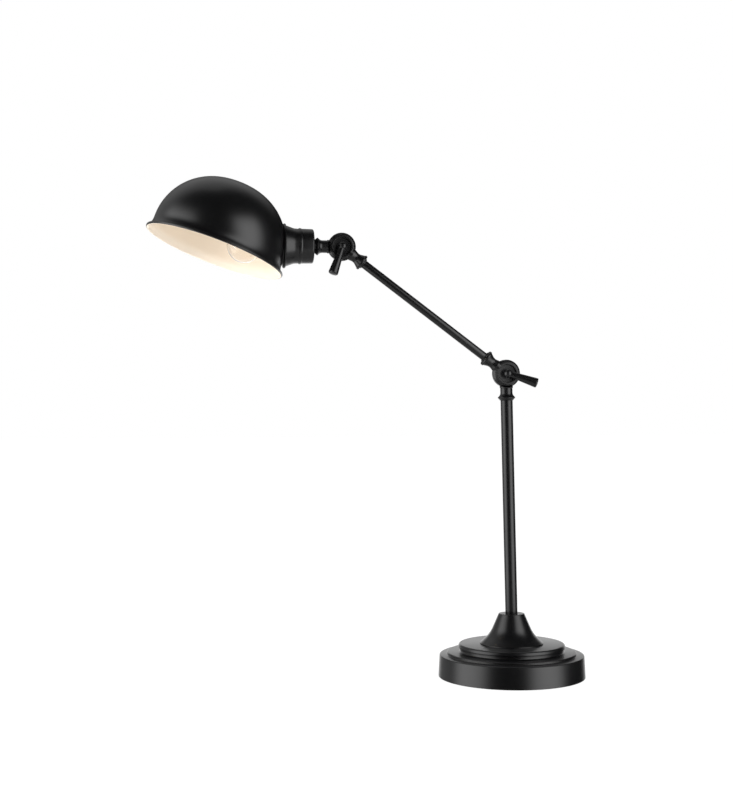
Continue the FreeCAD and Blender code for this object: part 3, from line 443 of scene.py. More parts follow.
# radius, height and rounding in mm, down the steps outside and back up them inside
SHELL_OUTSIDE = [
    (68.9, TOP_STEP_Z, 2.5), (68.9, 37.3, 2.5), (66.7, 37.3, 0.3), (66.7, 32.6, 2.4), (83.7, 32.2, 1.5),
    (83.1, 29.0, 1.6), (93.6, 28.6, 1.5), (FOOT_R, FOOT_Z),
]
SHELL_INSIDE = [
    (FOOT_R - SHEET_T, FOOT_Z), (92.4, 27.4, 0.3), (81.9, 27.8, 1.6), (82.5, 31.0, 0.3), (65.5, 31.4, 3.6),
    (65.5, 38.5, 1.5), (67.7, 38.5, 1.3), (67.7, 41.5, 1.3),
]
shell_corners = [(PIPE_WAY_R, TOP_STEP_Z)] + SHELL_OUTSIDE + SHELL_INSIDE + [(PIPE_WAY_R, 41.5)]
base_shell = piece("base_cover", turned(outline(shell_corners, 8), 192), HERE, [lacquer])
INLET = Matrix.Translation((0, 0, INLET_Z / 1000)) @ Matrix.Rotation(math.radians(-90), 4, "X")
carve(base_shell, rod("inlet_hole", INLET_R, FOOT_R - INLET_REACH, FOOT_R + INLET_REACH, INLET))
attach(base_shell, "stand")
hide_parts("base_shell")

# ---- base: ballast and its fixing ----------------------------------------------------------------
# A cast iron disc fills the base under the shell. One hollow threaded pipe with a plain washer, a
# split washer and a nut pulls disc, shell, cone and stem together. Those four are zinc plated, and so
# are the pipe and the nut in the head.
iron, tree = new_material("raw grey cast iron")
# Sand cast and only fettled: dark grey, rough, with a grain of half a millimetre.
sand = grain(tree, 0.5, 3.0)
finish_surface(tree, dict(
    Base_Color=blend_colours(tree, sand, srgb("#2c2b2a"), srgb("#4a4947")),
    Metallic=0.6, Roughness=0.7,
), sand, 0.0002)
dress("base_weight", iron)

zinc, tree = new_material("bright zinc plate on steel")
# Thin electroplate: pale, slightly blue metal with soft blotches.
blotch = grain(tree, 3.0, 2.0)
finish_surface(tree, dict(
    Base_Color=blend_colours(tree, blotch, srgb("#b9bcc0"), srgb("#cfd0cf")),
    Metallic=1.0, Roughness=spread(tree, blotch, 0.28, 0.4),
))
for name in (
    "threaded_nipple", "base_flat_washer", "base_lock_washer", "base_nut", "head_nipple", "lock_nut",
):
    dress(name, zinc)

# ---- base: cable grommet -------------------------------------------------------------------------
# Moulded rubber ring snapped into the hole low in the back of the shell. A groove round its middle
# takes the sheet's edge.
rubber, tree = new_material("moulded black rubber")
# Moulded, with a faint bloom: nearly black, even and almost matt.
bloom = grain(tree, 1.5, 2.0)
finish_surface(tree, dict(
    Base_Color=blend_colours(tree, bloom, srgb("#161616"), srgb("#232323")), Roughness=0.62,
), bloom, 0.00002)
LEAD_WAY_R, LIP_R, GROOVE_R = 3.4, 7.4, 5.2
GROMMET_IN, GROOVE_IN, GROOVE_OUT, GROMMET_OUT = 90.77, 92.57, 95.11, 96.9
grommet_corners = [
    (LEAD_WAY_R, GROMMET_IN, 0.5), (LIP_R, GROMMET_IN, 0.5), (LIP_R, GROOVE_IN), (GROOVE_R, GROOVE_IN),
    (GROOVE_R, GROOVE_OUT), (LIP_R, GROOVE_OUT), (LIP_R, GROMMET_OUT, 0.8), (LEAD_WAY_R, GROMMET_OUT, 0.6),
]
grommet = piece("cable_grommet", turned(outline(grommet_corners), 64), INLET, [rubber])
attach(grommet, "stand")
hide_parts("cord_grommet")

# ---- base: cone ----------------------------------------------------------------------------------
# Trumpet-shaped casting on the top step, with a sharp foot and a small rolled shoulder, where
# the stem stands in a 3 mm deep seat. Same lacquer.
CONE_TOP_Z, SEAT_Z, SEAT_R = 81.7, 78.7, 8.05
HOLLOW_TOP_Z = 75.7
cone_corners = [
    (38.8, TOP_STEP_Z), (41.0, TOP_STEP_Z, 0.2), (41.0, 43.7, 0.5), (28.0, 55.4, 50.0),
    (16.6, CONE_TOP_Z, 0.9), (SEAT_R, CONE_TOP_Z, 0.3), (SEAT_R, SEAT_Z), (PIPE_WAY_R, SEAT_Z),
    (PIPE_WAY_R, HOLLOW_TOP_Z), (14.4, HOLLOW_TOP_Z), (25.8, 53.2, 50.0),
]
cone = piece("stem_cone", turned(outline(cone_corners, 14), 144), HERE, [lacquer])
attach(cone, "stand")
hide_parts("base_cone")

# ---- stem ----------------------------------------------------------------------------------------
# Drawn steel tube of 15.8 mm with a 1.3 mm wall, lacquered. A turned brass bush in its foot takes the
# threaded pipe.
brass, tree = new_material("turned brass")
# Bar stock left as turned: warm yellow metal with fine rings too small to see apart.
turning = grain(tree, 0.8, 2.0, (1, 1, 6))
finish_surface(tree, dict(
    Base_Color=blend_colours(tree, turning, srgb("#b08a45"), srgb("#cba65f")),
    Metallic=1.0, Roughness=spread(tree, turning, 0.25, 0.38),
))
dress("stem_plug", brass)


def pipe(name, outer, inner, low, high, place, material):
    """Tube with its ends broken by a quarter of a millimetre."""
    corners = [(inner, low), (outer, low, 0.25), (outer, high, 0.25), (inner, high)]
    return piece(name, turned(outline(corners, 3), 96), place, [material])


def about(letter, degrees):
    """A turn about one axis."""
    return Matrix.Rotation(math.radians(degrees), 4, letter)


STEM_LEAN = 1.15            # degrees toward the arm
STEM_R, STEM_INNER_R, STEM_LENGTH = 7.9, 6.6, 279.8
STEM_FOOT_Z = 78.86         # just over the seat, because the leaning tube stands on its edge
STEM = Matrix.Translation((0, 0, STEM_FOOT_Z / 1000)) @ about("Y", -STEM_LEAN)
stem = pipe("stem", STEM_R, STEM_INNER_R, 0, STEM_LENGTH, STEM, lacquer)
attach(stem, "stand")
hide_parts("stem_tube")

# ---- knuckle joints ------------------------------------------------------------------------------
# Each joint is two die-cast halves, face to face with a fibre washer between, on a slotted screw.
# A half is a dished disc with one raised ring, and a neck with a collar, as if turned.
PIVOTS = {joint["name"]: Vector(joint["pos_m"]) for joint in frame["joints"]}
LOWER = Matrix.Translation(PIVOTS["lower_knuckle"])
UPPER = Matrix.Translation(PIVOTS["upper_knuckle"])
ARM_RISE, HEAD_RISE = 37.05, 0.3    # degrees over the level
ARM_TURN = ARM_RISE - 90
HEAD_TURN = HEAD_RISE - 90
ARM = LOWER @ about("Y", ARM_TURN)
HEAD = UPPER @ about("Y", HEAD_TURN)

KNUCKLE_R, PIVOT_BORE_R, WIRE_WAY_R, WIRE_WAY_FOOT = 18.0, 3.05, 2.6, 9.5
REAR_FACE, FRONT_FACE = 0.5, 0.55   # from the joint's middle plane, the fibre washer between them
HOLLOW_DEPTH = 3.0
DISC_CLEARANCE = 0.4                # of a neck, round the other half's disc
THROUGH, OVERLAP = 20, 2            # how far a cutter goes past a face, and a joined piece into one
POST_END, ARM_END, NECK_FOOT_Z = 34.8, 36.1, 12.5
STEM_SPIGOT_R, ARM_SPIGOT_R, SPIGOT_LENGTH = 6.57, 4.27, 14
PIPE_SOCKET_R, SOCKET_DEPTH = 5.05, 11
DISC = [
    (PIVOT_BORE_R, "face"), (4.8, "face"), (4.8, "hollow"), (10.5, "hollow"), (10.5, "face"),
    (KNUCKLE_R, "face"), (KNUCKLE_R, 3.2, 1.4), (15.4, 5.8, 0.5), (14.7, 5.8, 0.3), (14.7, 7.4, 1.2),
    (11.3, 7.4, 1.2), (11.3, 5.6, 0.3), (PIVOT_BORE_R, 5.6),
]
POST_NECK = [
    (0, NECK_FOOT_Z), (8.6, NECK_FOOT_Z), (8.6, 18.3, 0.8), (8.0, 19.1, 0.5), (8.0, 27.4, 6.0),
    (11.5, 31.2, 0.5), (8.6, POST_END, 0.3), (0, POST_END),
]
ARM_NECK = [
    (0, NECK_FOOT_Z), (7.9, NECK_FOOT_Z), (7.9, 17.0, 3.0), (6.0, 23.4, 14.0), (9.7, 31.3, 0.3),
    (10.4, 31.3, 0.5), (10.4, 34.5, 1.4), (7.0, 34.5, 0.2), (7.0, ARM_END, 0.5), (0, ARM_END),
]


def knuckle_half(name, neck, end, spigot, socket, rear, place, body, node):
    """One casting: disc behind or before the joint's middle plane, neck along the place's Z."""
    face = REAR_FACE if rear else FRONT_FACE
    side = 1 if rear else -1
    height = {"face": face, "hollow": face + HOLLOW_DEPTH}
    corners = [(c[0], height.get(c[1], c[1]), *c[2:]) for c in DISC]
    lying = place @ about("X", -90 * side)
    half = piece(name, turned(outline(corners), 96), lying, [lacquer])
    stub = piece("stub", turned(outline(neck, 10), 80), place, [lacquer])
    carve(stub, rod("opposite", KNUCKLE_R + DISC_CLEARANCE, face - 2 * THROUGH, face, lying, 96))
    if spigot:
        carve(stub, rod("spigot", spigot, end - OVERLAP, end + SPIGOT_LENGTH, place, 48), "UNION")
    carve(half, stub, "UNION")
    carve(half, rod("pivot_bore", PIVOT_BORE_R, -THROUGH, THROUGH, lying, 48))
    carve(half, rod("wire_way", WIRE_WAY_R, WIRE_WAY_FOOT, end + SPIGOT_LENGTH + 1, place, 32))
    if socket:
        carve(half, rod("socket", socket, end - SOCKET_DEPTH, end + 1, place, 48))
    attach(half, body)
    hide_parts(node)


knuckle_half("stem_joint_half", POST_NECK, POST_END, STEM_SPIGOT_R, 0, True,
             LOWER @ about("Y", 180 - STEM_LEAN), "stand", "stem_knuckle_half")
knuckle_half("arm_foot_joint_half", ARM_NECK, ARM_END, ARM_SPIGOT_R, 0, False,
             ARM, "arm", "arm_lower_knuckle_half")
knuckle_half("arm_head_joint_half", ARM_NECK, ARM_END, ARM_SPIGOT_R, 0, False,
             UPPER @ about("Y", ARM_TURN + 180), "arm", "arm_upper_knuckle_half")
knuckle_half("head_joint_half", POST_NECK, POST_END, 0, PIPE_SOCKET_R, True,
             HEAD, "head", "head_knuckle_half")

fibreboard, tree = new_material("vulcanised fibre")
# Pressed cellulose sheet, red-brown, dry, with a fine fleck.
fleck = grain(tree, 0.5, 3.0)
finish_surface(tree, dict(
    Base_Color=blend_colours(tree, fleck, srgb("#4a2c22"), srgb("#6b4433")), Roughness=0.8,
))
blacking, tree = new_material("black oxide on steel")
# Chemically blackened screws and washers: deep black metal with a thin oil sheen.
tone = grain(tree, 1.2, 2.0)
finish_surface(tree, dict(
    Base_Color=blend_colours(tree, tone, srgb("#202022"), srgb("#2c2c2e")),
    Metallic=0.5, Roughness=spread(tree, tone, 0.34, 0.46),
))

# ---- clamp levers --------------------------------------------------------------------------------
# Die-cast lever with a ball hub threaded on the pivot screw, lacquered. Its round bar leans away from
# the knuckle and thickens to the tip.
LEVER_SPLAY = 12.0          # degrees that the bar leans away from the knuckle
BALL_R, BALL_OUT, BALL_STEP = 5.6, 12.0, 6
SHANK_R, SHANK_FOOT, THREAD_END = 4.7, 6.55, 12.95
LOWER_LEVER_TURN, UPPER_LEVER_TURN = 109.5, 200.5
BAR = [(0, 0), (3.6, 0), (6.4, 39.4, 1.8), (0, 40.2)]


def clamp_lever(name, turn, pivot, body, node):
    """One lever, its bar pointing at a turn in degrees about the pivot from straight up."""
    hub = pivot @ about("Y", turn)
    outward = hub @ about("X", 90)
    ball_centre = hub @ Matrix.Translation((0, -BALL_OUT / 1000, 0))
    angles = [math.radians(-90 + BALL_STEP * k) for k in range(180 // BALL_STEP + 1)]
    ball = [(BALL_R * math.cos(a), BALL_R * math.sin(a)) for a in angles]
    ball[0], ball[-1] = (0, -BALL_R), (0, BALL_R)
    lever = piece(name, turned(ball, 64), ball_centre, [lacquer])
    bar = piece("bar", turned(outline(BAR, 8), 64), ball_centre @ about("X", LEVER_SPLAY), [lacquer])
    carve(lever, bar, "UNION")
    carve(lever, rod("shank", SHANK_R, SHANK_FOOT, BALL_OUT, outward, 64), "UNION")
    carve(lever, rod("thread", PIVOT_BORE_R, 0, THREAD_END, outward, 32))
    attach(lever, body)
    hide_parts(node)


clamp_lever("lower_clamp_lever", LOWER_LEVER_TURN, LOWER, "lower_clamp", "lower_lever")
clamp_lever("upper_clamp_lever", UPPER_LEVER_TURN, UPPER, "upper_clamp", "upper_lever")
for joint in ("lower", "upper"):
    dress(joint + "_friction_washer", fibreboard)
    dress(joint + "_pivot_screw", blacking)
    dress(joint + "_lever_washer", blacking)

# ---- arm -----------------------------------------------------------------------------------------
# Drawn steel tube of 10.8 mm with a 1.1 mm wall, lacquered. Its two ends fit over the spigots of the
# castings.
ARM_R, ARM_INNER_R, BETWEEN_PIVOTS = 5.4, 4.3, 269
arm = pipe("arm", ARM_R, ARM_INNER_R, ARM_END, BETWEEN_PIVOTS - ARM_END, ARM, lacquer)
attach(arm, "arm")
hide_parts("arm_tube")

# ---- head: neck ring, cap and fitter -------------------------------------------------------------
# A thin turned ring, a drawn cup over the lampholder's back, and a spun neck with a bead, a band
# and a flared rolled rim, cut to sit on the dome. The shade sits rolled 4 degrees toward the front.
SHADE_ROLL = 4.0
SOCKET = HEAD @ about("Z", SHADE_ROLL)
RIM_X, RIM_DROP, DOME_TILT = 161.6, 7.8, 20.0   # the rim's centre along and below the lampholder's axis
DOME = SOCKET @ Matrix.Translation((-RIM_DROP / 1000, 0, RIM_X / 1000)) @ about("Y", 90 + DOME_TILT)

CUP_Z, CUP_MOUTH_Z, CUP_R = 36.5, 51.5, 22.1
ring_corners = [
    (PIPE_SOCKET_R, POST_END), (9.7, POST_END, 0.5), (9.7, CUP_Z, 0.5), (PIPE_SOCKET_R, CUP_Z),
]
neck_ring = piece("neck_washer", turned(outline(ring_corners), 80), SOCKET, [lacquer])
cup_corners = [
    (PIPE_SOCKET_R, CUP_Z), (21.8, CUP_Z, 2.2), (CUP_R, CUP_MOUTH_Z), (20.9, CUP_MOUTH_Z), (20.6, 37.7, 1.0),
    (PIPE_SOCKET_R, 37.7),
]
socket_cup = piece("lampholder_cup", turned(outline(cup_corners, 8), 128), SOCKET, [lacquer])

CROWN_R, SHOULDER_R, DOME_R, DOME_TOP = 143.0, 75.6, 85.3, 91.5
SKIRT_R, SKIRT_Z, SHADE_T = 88.0, 2.0, 0.9
CROWN_STEPS, SHOULDER_STEPS, FLARE_STEPS = 6, 40, 10


def dome_curve(inset):
    """Dome surface from the crown's middle down to the skirt: two arcs and a short flare."""
    shoulder_x = DOME_R - SHOULDER_R
    crown_z = DOME_TOP - CROWN_R
    shoulder_z = crown_z + math.sqrt((CROWN_R - SHOULDER_R) ** 2 - shoulder_x ** 2)
    lean = math.atan2(shoulder_x, shoulder_z - crown_z)
    route = [(0.0, DOME_TOP - inset)]
    for k in range(1, CROWN_STEPS + 1):
        a = lean * k / CROWN_STEPS
        route.append(((CROWN_R - inset) * math.sin(a), crown_z + (CROWN_R - inset) * math.cos(a)))
    for k in range(1, SHOULDER_STEPS + 1):
        a = lean + (math.pi / 2 - lean) * k / SHOULDER_STEPS
        radius = SHOULDER_R - inset
        route.append((shoulder_x + radius * math.sin(a), shoulder_z + radius * math.cos(a)))
    for k in range(1, FLARE_STEPS + 1):
        share = k / FLARE_STEPS
        flare = (SKIRT_R - DOME_R) * share ** 3
        route.append((DOME_R - inset + flare, shoulder_z + (SKIRT_Z - shoulder_z) * share))
    return route


FITTER_RIM_Z, FITTER_RIM_R, FITTER_RIM_T = 72.1, 28.4, 3.2
SEAT_HIGH = FITTER_RIM_Z + FITTER_RIM_T
BLANK_END = 88.1            # of the uncut neck, inside the dome that trims it
fitter_corners = [
    (19.45, 48.5), (20.6, 48.5), (20.6, CUP_MOUTH_Z), (CUP_R, CUP_MOUTH_Z), (22.9, 53.03, 1.2),
    (22.9, 54.57, 1.2), (CUP_R, 56.1, 0.3), (22.4, 61.5, 12.0), (26.2, FITTER_RIM_Z, 0.3),
    (FITTER_RIM_R, FITTER_RIM_Z, 1.44), (FITTER_RIM_R, SEAT_HIGH, 1.44), (25.4, SEAT_HIGH, 0.3),
    (25.4, BLANK_END), (19.9, BLANK_END), (19.9, 61.5), (19.45, 56.1),
]
fitter = piece("shade_neck", turned(outline(fitter_corners, 10), 160), SOCKET, [lacquer])
filled_dome = piece("filled_dome", turned(dome_curve(0) + [(SKIRT_R, 0), (0, 0)], 256), DOME, [lacquer])
carve(fitter, filled_dome)
for made, node, slot in (
    (neck_ring, "neck_ring", "stem_paint"),
    (socket_cup, "socket_cap", "fitter_paint"),
    (fitter, "shade_fitter", "fitter_paint"),
):
    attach(made, "head")
    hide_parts(node)

# ---- shade ---------------------------------------------------------------------------------------
# Steel dome of 0.9 mm, spun, with an outward rolled edge and a hole for the lampholder. It is satin
# black outside and cream enamel inside.
enamel, tree = new_material("cream stoved enamel")
# Warm white enamel sprayed inside the shade: soft, with little gloss, and slightly uneven.
tint = grain(tree, 30.0, 2.0)
finish_surface(tree, dict(
    Base_Color=blend_colours(tree, tint, srgb("#f3e5d2"), srgb("#f5e9d8")),
    Roughness=0.6, IOR=1.5,
))

ROLL_X, ROLL_R = 89.2, 1.8
ROLL_START, ROLL_TURN, ROLL_STEPS = 131.0, 273.0, 28
LACQUERED_STEPS = 21        # of the roll, before the cream begins
HOLE_R, HOLE_END = 20.1, 93.0       # round the lampholder
roll = []
for k in range(ROLL_STEPS + 1):
    a = math.radians(ROLL_START - ROLL_TURN * k / ROLL_STEPS)
    roll.append((ROLL_X + ROLL_R * math.cos(a), ROLL_R * math.sin(a)))
wall = dome_curve(0) + roll + dome_curve(SHADE_T)[::-1]
cream_from = len(dome_curve(0)) + LACQUERED_STEPS
shade = piece("shade_dome", turned(wall, 256, (cream_from, len(wall) - 1)), DOME, [lacquer, enamel])
carve(shade, rod("lampholder_hole", HOLE_R, CUP_MOUTH_Z, HOLE_END, SOCKET, 128))
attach(shade, "head")
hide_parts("shade")

# ---- lampholder: shade ring ----------------------------------------------------------------------
# A moulded phenolic ring screws on to the holder inside the shade and clamps the dome to the neck.
# Its rim is scalloped for the fingers: 30 shallow flutes, 0.7 mm deep.
phenolic, tree = new_material("moulded black phenolic resin")
# Compression moulded: brown-black, half glossy, with a wood-flour fleck under a millimetre.
speck = grain(tree, 0.8, 3.0)
finish_surface(tree, dict(
    Base_Color=blend_colours(tree, speck, srgb("#141312"), srgb("#211f1d")), Roughness=0.42,
), speck, 0.00001)


def start_rule(name, sizes):
    """A Geometry Nodes tree with these named sizes and a material as inputs, and their sockets."""
    tree = bpy.data.node_groups.new(name, "GeometryNodeTree")
    for label in sizes:
        tree.interface.new_socket(label, in_out="INPUT", socket_type="NodeSocketFloat")
    tree.interface.new_socket("Material", in_out="INPUT", socket_type="NodeSocketMaterial")
    tree.interface.new_socket("Geometry", in_out="OUTPUT", socket_type="NodeSocketGeometry")
    return tree, tree.nodes.new("NodeGroupInput").outputs


def end_rule(tree, geometry, material):
    """Close a tree: realize the instances and set the material."""
    real = add(tree, "GeometryNodeRealizeInstances", Geometry=geometry)
    painted = add(tree, "GeometryNodeSetMaterial", Geometry=real.outputs[0], Material=material)
    add(tree, "NodeGroupOutput", Geometry=painted.outputs[0])


def grow(name, tree, place, material, sizes, sharp=SMOOTH_UP_TO):
    """Run a tree on an empty mesh, in mm, and keep the result as a plain mesh put in place."""
    seed = bpy.data.objects.new(name + "_seed", bpy.data.meshes.new(name + "_seed"))
    scene.collection.objects.link(seed)
    rule = seed.modifiers.new("rule", "NODES")
    rule.node_group = tree
    for socket in tree.interface.items_tree:
        if socket.in_out == "INPUT":
            rule[socket.identifier] = material if socket.name == "Material" else float(sizes[socket.name])
    bpy.context.view_layer.update()
    grown = bpy.data.meshes.new_from_object(seed.evaluated_get(bpy.context.evaluated_depsgraph_get()))
    seed.modifiers.clear()
    bpy.data.objects.remove(seed)
    shape = bmesh.new()
    shape.from_mesh(grown)
    bmesh.ops.recalc_face_normals(shape, faces=shape.faces)
    return piece(name, shape, place, [material], sharp)


WELD = 0.002                # mm


def thicken(tree, surface, offset):
    """Closed body between an open surface and its copy moved by an offset or along its normals."""
    moved = add(tree, "GeometryNodeExtrudeMesh", {"mode": "FACES"}, Mesh=surface, Individual=False, **offset)
    both = add(tree, "GeometryNodeJoinGeometry")
    tree.links.new(surface, both.inputs[0])
    tree.links.new(moved.outputs[0], both.inputs[0])
    return add(tree, "GeometryNodeMergeByDistance", Geometry=both.outputs[0], Distance=WELD).outputs[0]


tree, given = start_rule("fluted disc", ("Radius", "Flute Depth", "Flutes", "Thickness"))
FLUTES, CORNERS_PER_FLUTE = 30, 10
disc = add(tree, "GeometryNodeMeshCircle", {"fill_type": "NGON"}, Vertices=FLUTES * CORNERS_PER_FLUTE,
           Radius=1.0).outputs[0]
spot = add(tree, "ShaderNodeSeparateXYZ", Vector=add(tree, "GeometryNodeInputPosition").outputs[0])
bearing = calc(tree, "ARCTAN2", spot.outputs["Y"], spot.outputs["X"])
swing = calc(tree, "COSINE", calc(tree, "MULTIPLY", bearing, given["Flutes"]))
wave = calc(tree, "MULTIPLY_ADD", swing, 0.5, 0.5)
edge = calc(tree, "SUBTRACT", given["Radius"], calc(tree, "MULTIPLY", wave, given["Flute Depth"]))
scaled = add(tree, "ShaderNodeVectorMath", {"operation": "SCALE"},
             at0=add(tree, "GeometryNodeInputPosition").outputs[0], Scale=edge)
fluted = add(tree, "GeometryNodeSetPosition", Geometry=disc, Position=scaled.outputs[0]).outputs[0]
up = add(tree, "ShaderNodeCombineXYZ", Z=given["Thickness"]).outputs[0]
end_rule(tree, thicken(tree, fluted, dict(Offset=up, Offset_Scale=1.0)), given["Material"])

RING_FOOT, RING_MOUTH, RING_BORE_R = FITTER_RIM_Z, 85.3, 19.65
RING_CLEARANCE = 0.05       # from the inside of the dome
shade_ring = grow("shade_ring_grip", tree, SOCKET @ Matrix.Translation((0, 0, RING_FOOT / 1000)), phenolic, {
    "Radius": 24.4, "Flute Depth": 0.7, "Flutes": FLUTES, "Thickness": RING_MOUTH - RING_FOOT,
})
carve(shade_ring, rod("ring_bore", RING_BORE_R, RING_FOOT - OVERLAP, RING_MOUTH + OVERLAP, SOCKET, 128))
inside_dome = dome_curve(SHADE_T + RING_CLEARANCE) + [(SKIRT_R - SHADE_T, 0), (0, 0)]
carve(shade_ring, piece("dome_inside", turned(inside_dome, 256), DOME, [phenolic]), "INTERSECT")
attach(shade_ring, "head")
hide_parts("shade_ring")

# ---- lampholder: body, screw shell and contacts --------------------------------------------------
# A moulded phenolic body holds a thin brass screw shell, rolled to the lamp's thread, and a sprung
# centre contact. Two brass screws in its back take the wires.
dress("lampholder_body", phenolic)
for name in ("terminal_screws", "centre_contact"):
    dress(name, brass)

tree, given = start_rule("rolled thread", ("Radius", "Depth", "Wall", "Length", "Pitch", "Lead In", "Nose"))
THREAD_SIDES, THREAD_RINGS = 144, 96
sheet = add(tree, "GeometryNodeMeshGrid", Size_X=1.0, Size_Y=1.0, Vertices_X=THREAD_SIDES + 1,
            Vertices_Y=THREAD_RINGS + 1).outputs[0]
spot = add(tree, "ShaderNodeSeparateXYZ", Vector=add(tree, "GeometryNodeInputPosition").outputs[0])
bearing = calc(tree, "MULTIPLY_ADD", spot.outputs["X"], 2 * math.pi, math.pi)
height = calc(tree, "MULTIPLY", calc(tree, "ADD", spot.outputs["Y"], 0.5), given["Length"])
turns = calc(tree, "MULTIPLY", calc(tree, "DIVIDE", height, given["Pitch"]), 2 * math.pi)
wave = calc(tree, "MULTIPLY_ADD", calc(tree, "SINE", calc(tree, "SUBTRACT", turns, bearing)), 0.5, -0.5)
rise = calc(tree, "MINIMUM", calc(tree, "DIVIDE", height, given["Lead In"]), 1.0)
left = calc(tree, "DIVIDE", calc(tree, "SUBTRACT", given["Length"], height), given["Lead In"])
faded = calc(tree, "MULTIPLY", calc(tree, "MULTIPLY", rise, calc(tree, "MINIMUM", left, 1.0)), wave)
nose = calc(tree, "MULTIPLY", calc(tree, "SUBTRACT", 1.0, rise), given["Nose"])
crest = calc(tree, "ADD", given["Radius"], calc(tree, "MULTIPLY", faded, given["Depth"]))
radius = calc(tree, "SUBTRACT", crest, nose)
rolled = add(tree, "ShaderNodeCombineXYZ", X=calc(tree, "MULTIPLY", radius, calc(tree, "COSINE", bearing)),
             Y=calc(tree, "MULTIPLY", radius, calc(tree, "SINE", bearing)), Z=height).outputs[0]
rolled_sheet = add(tree, "GeometryNodeSetPosition", Geometry=sheet, Position=rolled).outputs[0]
welded = add(tree, "GeometryNodeMergeByDistance", Geometry=rolled_sheet, Distance=WELD).outputs[0]
inward = calc(tree, "MULTIPLY", given["Wall"], -1.0)
end_rule(tree, thicken(tree, welded, dict(Offset_Scale=inward)), given["Material"])
thread_rule = tree

THREAD_PITCH = 3.6
THREAD_SMOOTH = math.radians(50)
SHELL_FLOOR = Matrix.Translation((0, 0, 0.0652))
screw_shell = grow("holder_screw_shell", thread_rule, SOCKET @ SHELL_FLOOR, brass, {
    "Radius": 14.47, "Depth": 0.8, "Wall": 0.4, "Length": 24.5, "Pitch": THREAD_PITCH, "Lead In": 2.5,
    "Nose": 0.0,
}, THREAD_SMOOTH)
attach(screw_shell, "head")
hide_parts("lampholder_shell")

# ---- lamp: glass ---------------------------------------------------------------------------------
# Clear 45 mm globe blown in thin soda glass, on a pressed glass mount that closes its neck. The neck
# stands in the screw cap.
clear_glass, tree = new_material("clear lamp glass")
# No colour of its own, only a breath of warm grey where it is seen edge-on.
finish_surface(tree, dict(
    Base_Color=srgb("#fcfaf7"), Roughness=0.0, IOR=1.5, Transmission_Weight=1.0,
))
dress("bulb_mount", clear_glass)
GLOBE_X, GLOBE_R, NECK_R, NECK_FOOT, GLASS_T = 123.7, 22.6, 12.3, 86.0, 0.8
GLOBE_STEPS = 40


def globe_curve(radius, neck):
    """Globe and neck from the far pole to the open end."""
    join = math.asin(neck / radius)
    route = [(0.0, GLOBE_X + radius)]
    for k in range(1, GLOBE_STEPS + 1):
        a = (math.pi - join) * k / GLOBE_STEPS
        route.append((radius * math.sin(a), GLOBE_X + radius * math.cos(a)))
    return route + [(neck, NECK_FOOT)]


glass_route = globe_curve(GLOBE_R, NECK_R) + globe_curve(GLOBE_R - GLASS_T, NECK_R - GLASS_T)[::-1]
globe = piece("lamp_globe", turned(glass_route, 128), SOCKET, [clear_glass])
globe.visible_shadow = False    # clear glass this thin hardly shades the enamel round it
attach(globe, "head")
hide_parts("bulb_glass")

# ---- lamp: screw cap -----------------------------------------------------------------------------
# Nickel-plated brass sheet of 0.35 mm with the thread rolled into it, a black glass bead in its end
# and a soldered tip, which looks like the zinc plate.
nickel, tree = new_material("nickel plate on brass")
# Thin plate over rolled brass: warm grey metal, a little cloudy.
cloudy = grain(tree, 2.0)
finish_surface(tree, dict(
    Base_Color=blend_colours(tree, cloudy, srgb("#b5b0a6"), srgb("#c9c5bb")),
    Metallic=1.0, Roughness=spread(tree, cloudy, 0.24, 0.34),
))
bead_glass, tree = new_material("black insulating glass")
# Poured purple-black glass, smooth as cast.
streak = grain(tree, 1.5)
finish_surface(tree, dict(
    Base_Color=blend_colours(tree, streak, srgb("#0d0a10"), srgb("#15101a")), Roughness=0.15,
))
dress("bulb_insulator", bead_glass)
dress("bulb_contact", zinc)
CAP_FOOT = Matrix.Translation((0, 0, 0.0715))
cap = grow("lamp_cap", thread_rule, SOCKET @ CAP_FOOT, nickel, {
    "Radius": 13.0, "Depth": 0.7, "Wall": 0.35, "Length": 21.2, "Pitch": THREAD_PITCH, "Lead In": 2.2,
    "Nose": 1.4,
}, THREAD_SMOOTH)
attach(cap, "head")
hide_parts("bulb_cap")

# ---- lamp: filament ------------------------------------------------------------------------------
# Two stiff lead wires rise from the glass mount, and a fine tungsten coil of 34 turns arches between
# their ends.
tungsten, tree = new_material("drawn tungsten wire")
# Drawn and annealed wire: dark grey metal, dull, with die marks too small to see.
marks = grain(tree, 0.3)
finish_surface(tree, dict(
    Base_Color=blend_colours(tree, marks, srgb("#54524f"), srgb("#646260")), Metallic=1.0, Roughness=0.5,
))
FILAMENT_TURNS, POINTS_PER_TURN = 34, 10
LEAD_SHARE = 2.2            # a lead wire's thickness over the coil wire's
tree, given = start_rule("arched coil", (
    "Half Width", "Rise", "Foot", "Foot Gap", "Top", "Coil", "Turns", "Wire",
))
half_width, rise = given["Half Width"], given["Rise"]
rise_squared = calc(tree, "MULTIPLY", rise, rise)
squares = calc(tree, "MULTIPLY_ADD", half_width, half_width, rise_squared)
arch = calc(tree, "DIVIDE", squares, calc(tree, "MULTIPLY", rise, 2.0))
swing = calc(tree, "ARCSINE", calc(tree, "DIVIDE", half_width, arch))
line = add(tree, "GeometryNodeCurvePrimitiveLine", Start=(0, 0, 0), End=(1, 0, 0)).outputs[0]
fine = add(tree, "GeometryNodeResampleCurve", Curve=line,
           Count=FILAMENT_TURNS * POINTS_PER_TURN + 1).outputs[0]
spot = add(tree, "GeometryNodeInputPosition").outputs[0]
along = add(tree, "ShaderNodeSeparateXYZ", Vector=spot).outputs["X"]
bearing = calc(tree, "MULTIPLY", calc(tree, "MULTIPLY_ADD", along, 2.0, -1.0), swing)
phase = calc(tree, "MULTIPLY", calc(tree, "MULTIPLY", along, given["Turns"]), 2 * math.pi)
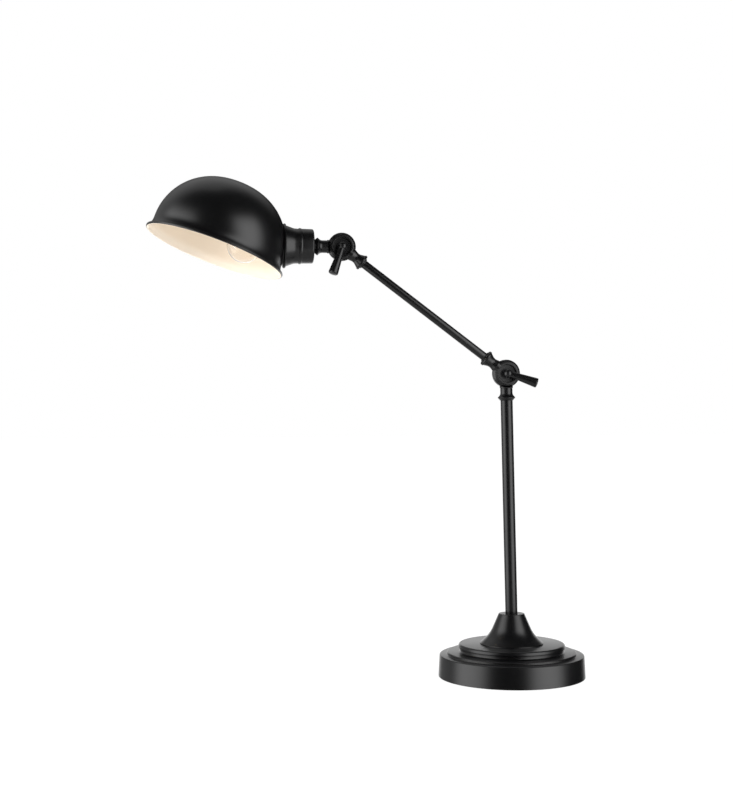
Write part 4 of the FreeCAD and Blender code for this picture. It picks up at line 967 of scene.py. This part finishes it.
reach = calc(tree, "ADD", arch, calc(tree, "MULTIPLY", calc(tree, "COSINE", phase), given["Coil"]))
drop = calc(tree, "SUBTRACT", calc(tree, "MULTIPLY", reach, calc(tree, "COSINE", bearing)),
            calc(tree, "SUBTRACT", arch, rise))
bent = add(tree, "ShaderNodeCombineXYZ",
           X=calc(tree, "MULTIPLY", calc(tree, "SINE", phase), given["Coil"]),
           Y=calc(tree, "MULTIPLY", reach, calc(tree, "SINE", bearing)),
           Z=calc(tree, "ADD", drop, given["Top"])).outputs[0]
coil = add(tree, "GeometryNodeSetPosition", Geometry=fine, Position=bent).outputs[0]
coil_ring = add(tree, "GeometryNodeCurvePrimitiveCircle", Resolution=6, Radius=given["Wire"]).outputs[0]
wires = add(tree, "GeometryNodeJoinGeometry")
for side in (-1.0, 1.0):
    foot_y = calc(tree, "MULTIPLY", given["Foot Gap"], side)
    foot = add(tree, "ShaderNodeCombineXYZ", Y=foot_y, Z=given["Foot"])
    top = add(tree, "ShaderNodeCombineXYZ", Y=calc(tree, "MULTIPLY", half_width, side), Z=given["Top"])
    lead = add(tree, "GeometryNodeCurvePrimitiveLine", Start=foot.outputs[0], End=top.outputs[0]).outputs[0]
    tree.links.new(lead, wires.inputs[0])
lead_ring = add(tree, "GeometryNodeCurvePrimitiveCircle", Resolution=12,
                Radius=calc(tree, "MULTIPLY", given["Wire"], LEAD_SHARE)).outputs[0]
parts = add(tree, "GeometryNodeJoinGeometry")
for curve, ring in ((coil, coil_ring), (wires.outputs[0], lead_ring)):
    swept = add(tree, "GeometryNodeCurveToMesh", Curve=curve, Profile_Curve=ring, Fill_Caps=True).outputs[0]
    tree.links.new(swept, parts.inputs[0])
end_rule(tree, parts.outputs[0], given["Material"])
filament = grow("lamp_filament", tree, SOCKET, tungsten, {
    "Half Width": 9.0, "Rise": 4.0, "Foot": 106.4, "Foot Gap": 1.6, "Top": 118.2, "Coil": 0.5,
    "Turns": FILAMENT_TURNS, "Wire": 0.12,
})
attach(filament, "head")
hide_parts("bulb_filament")
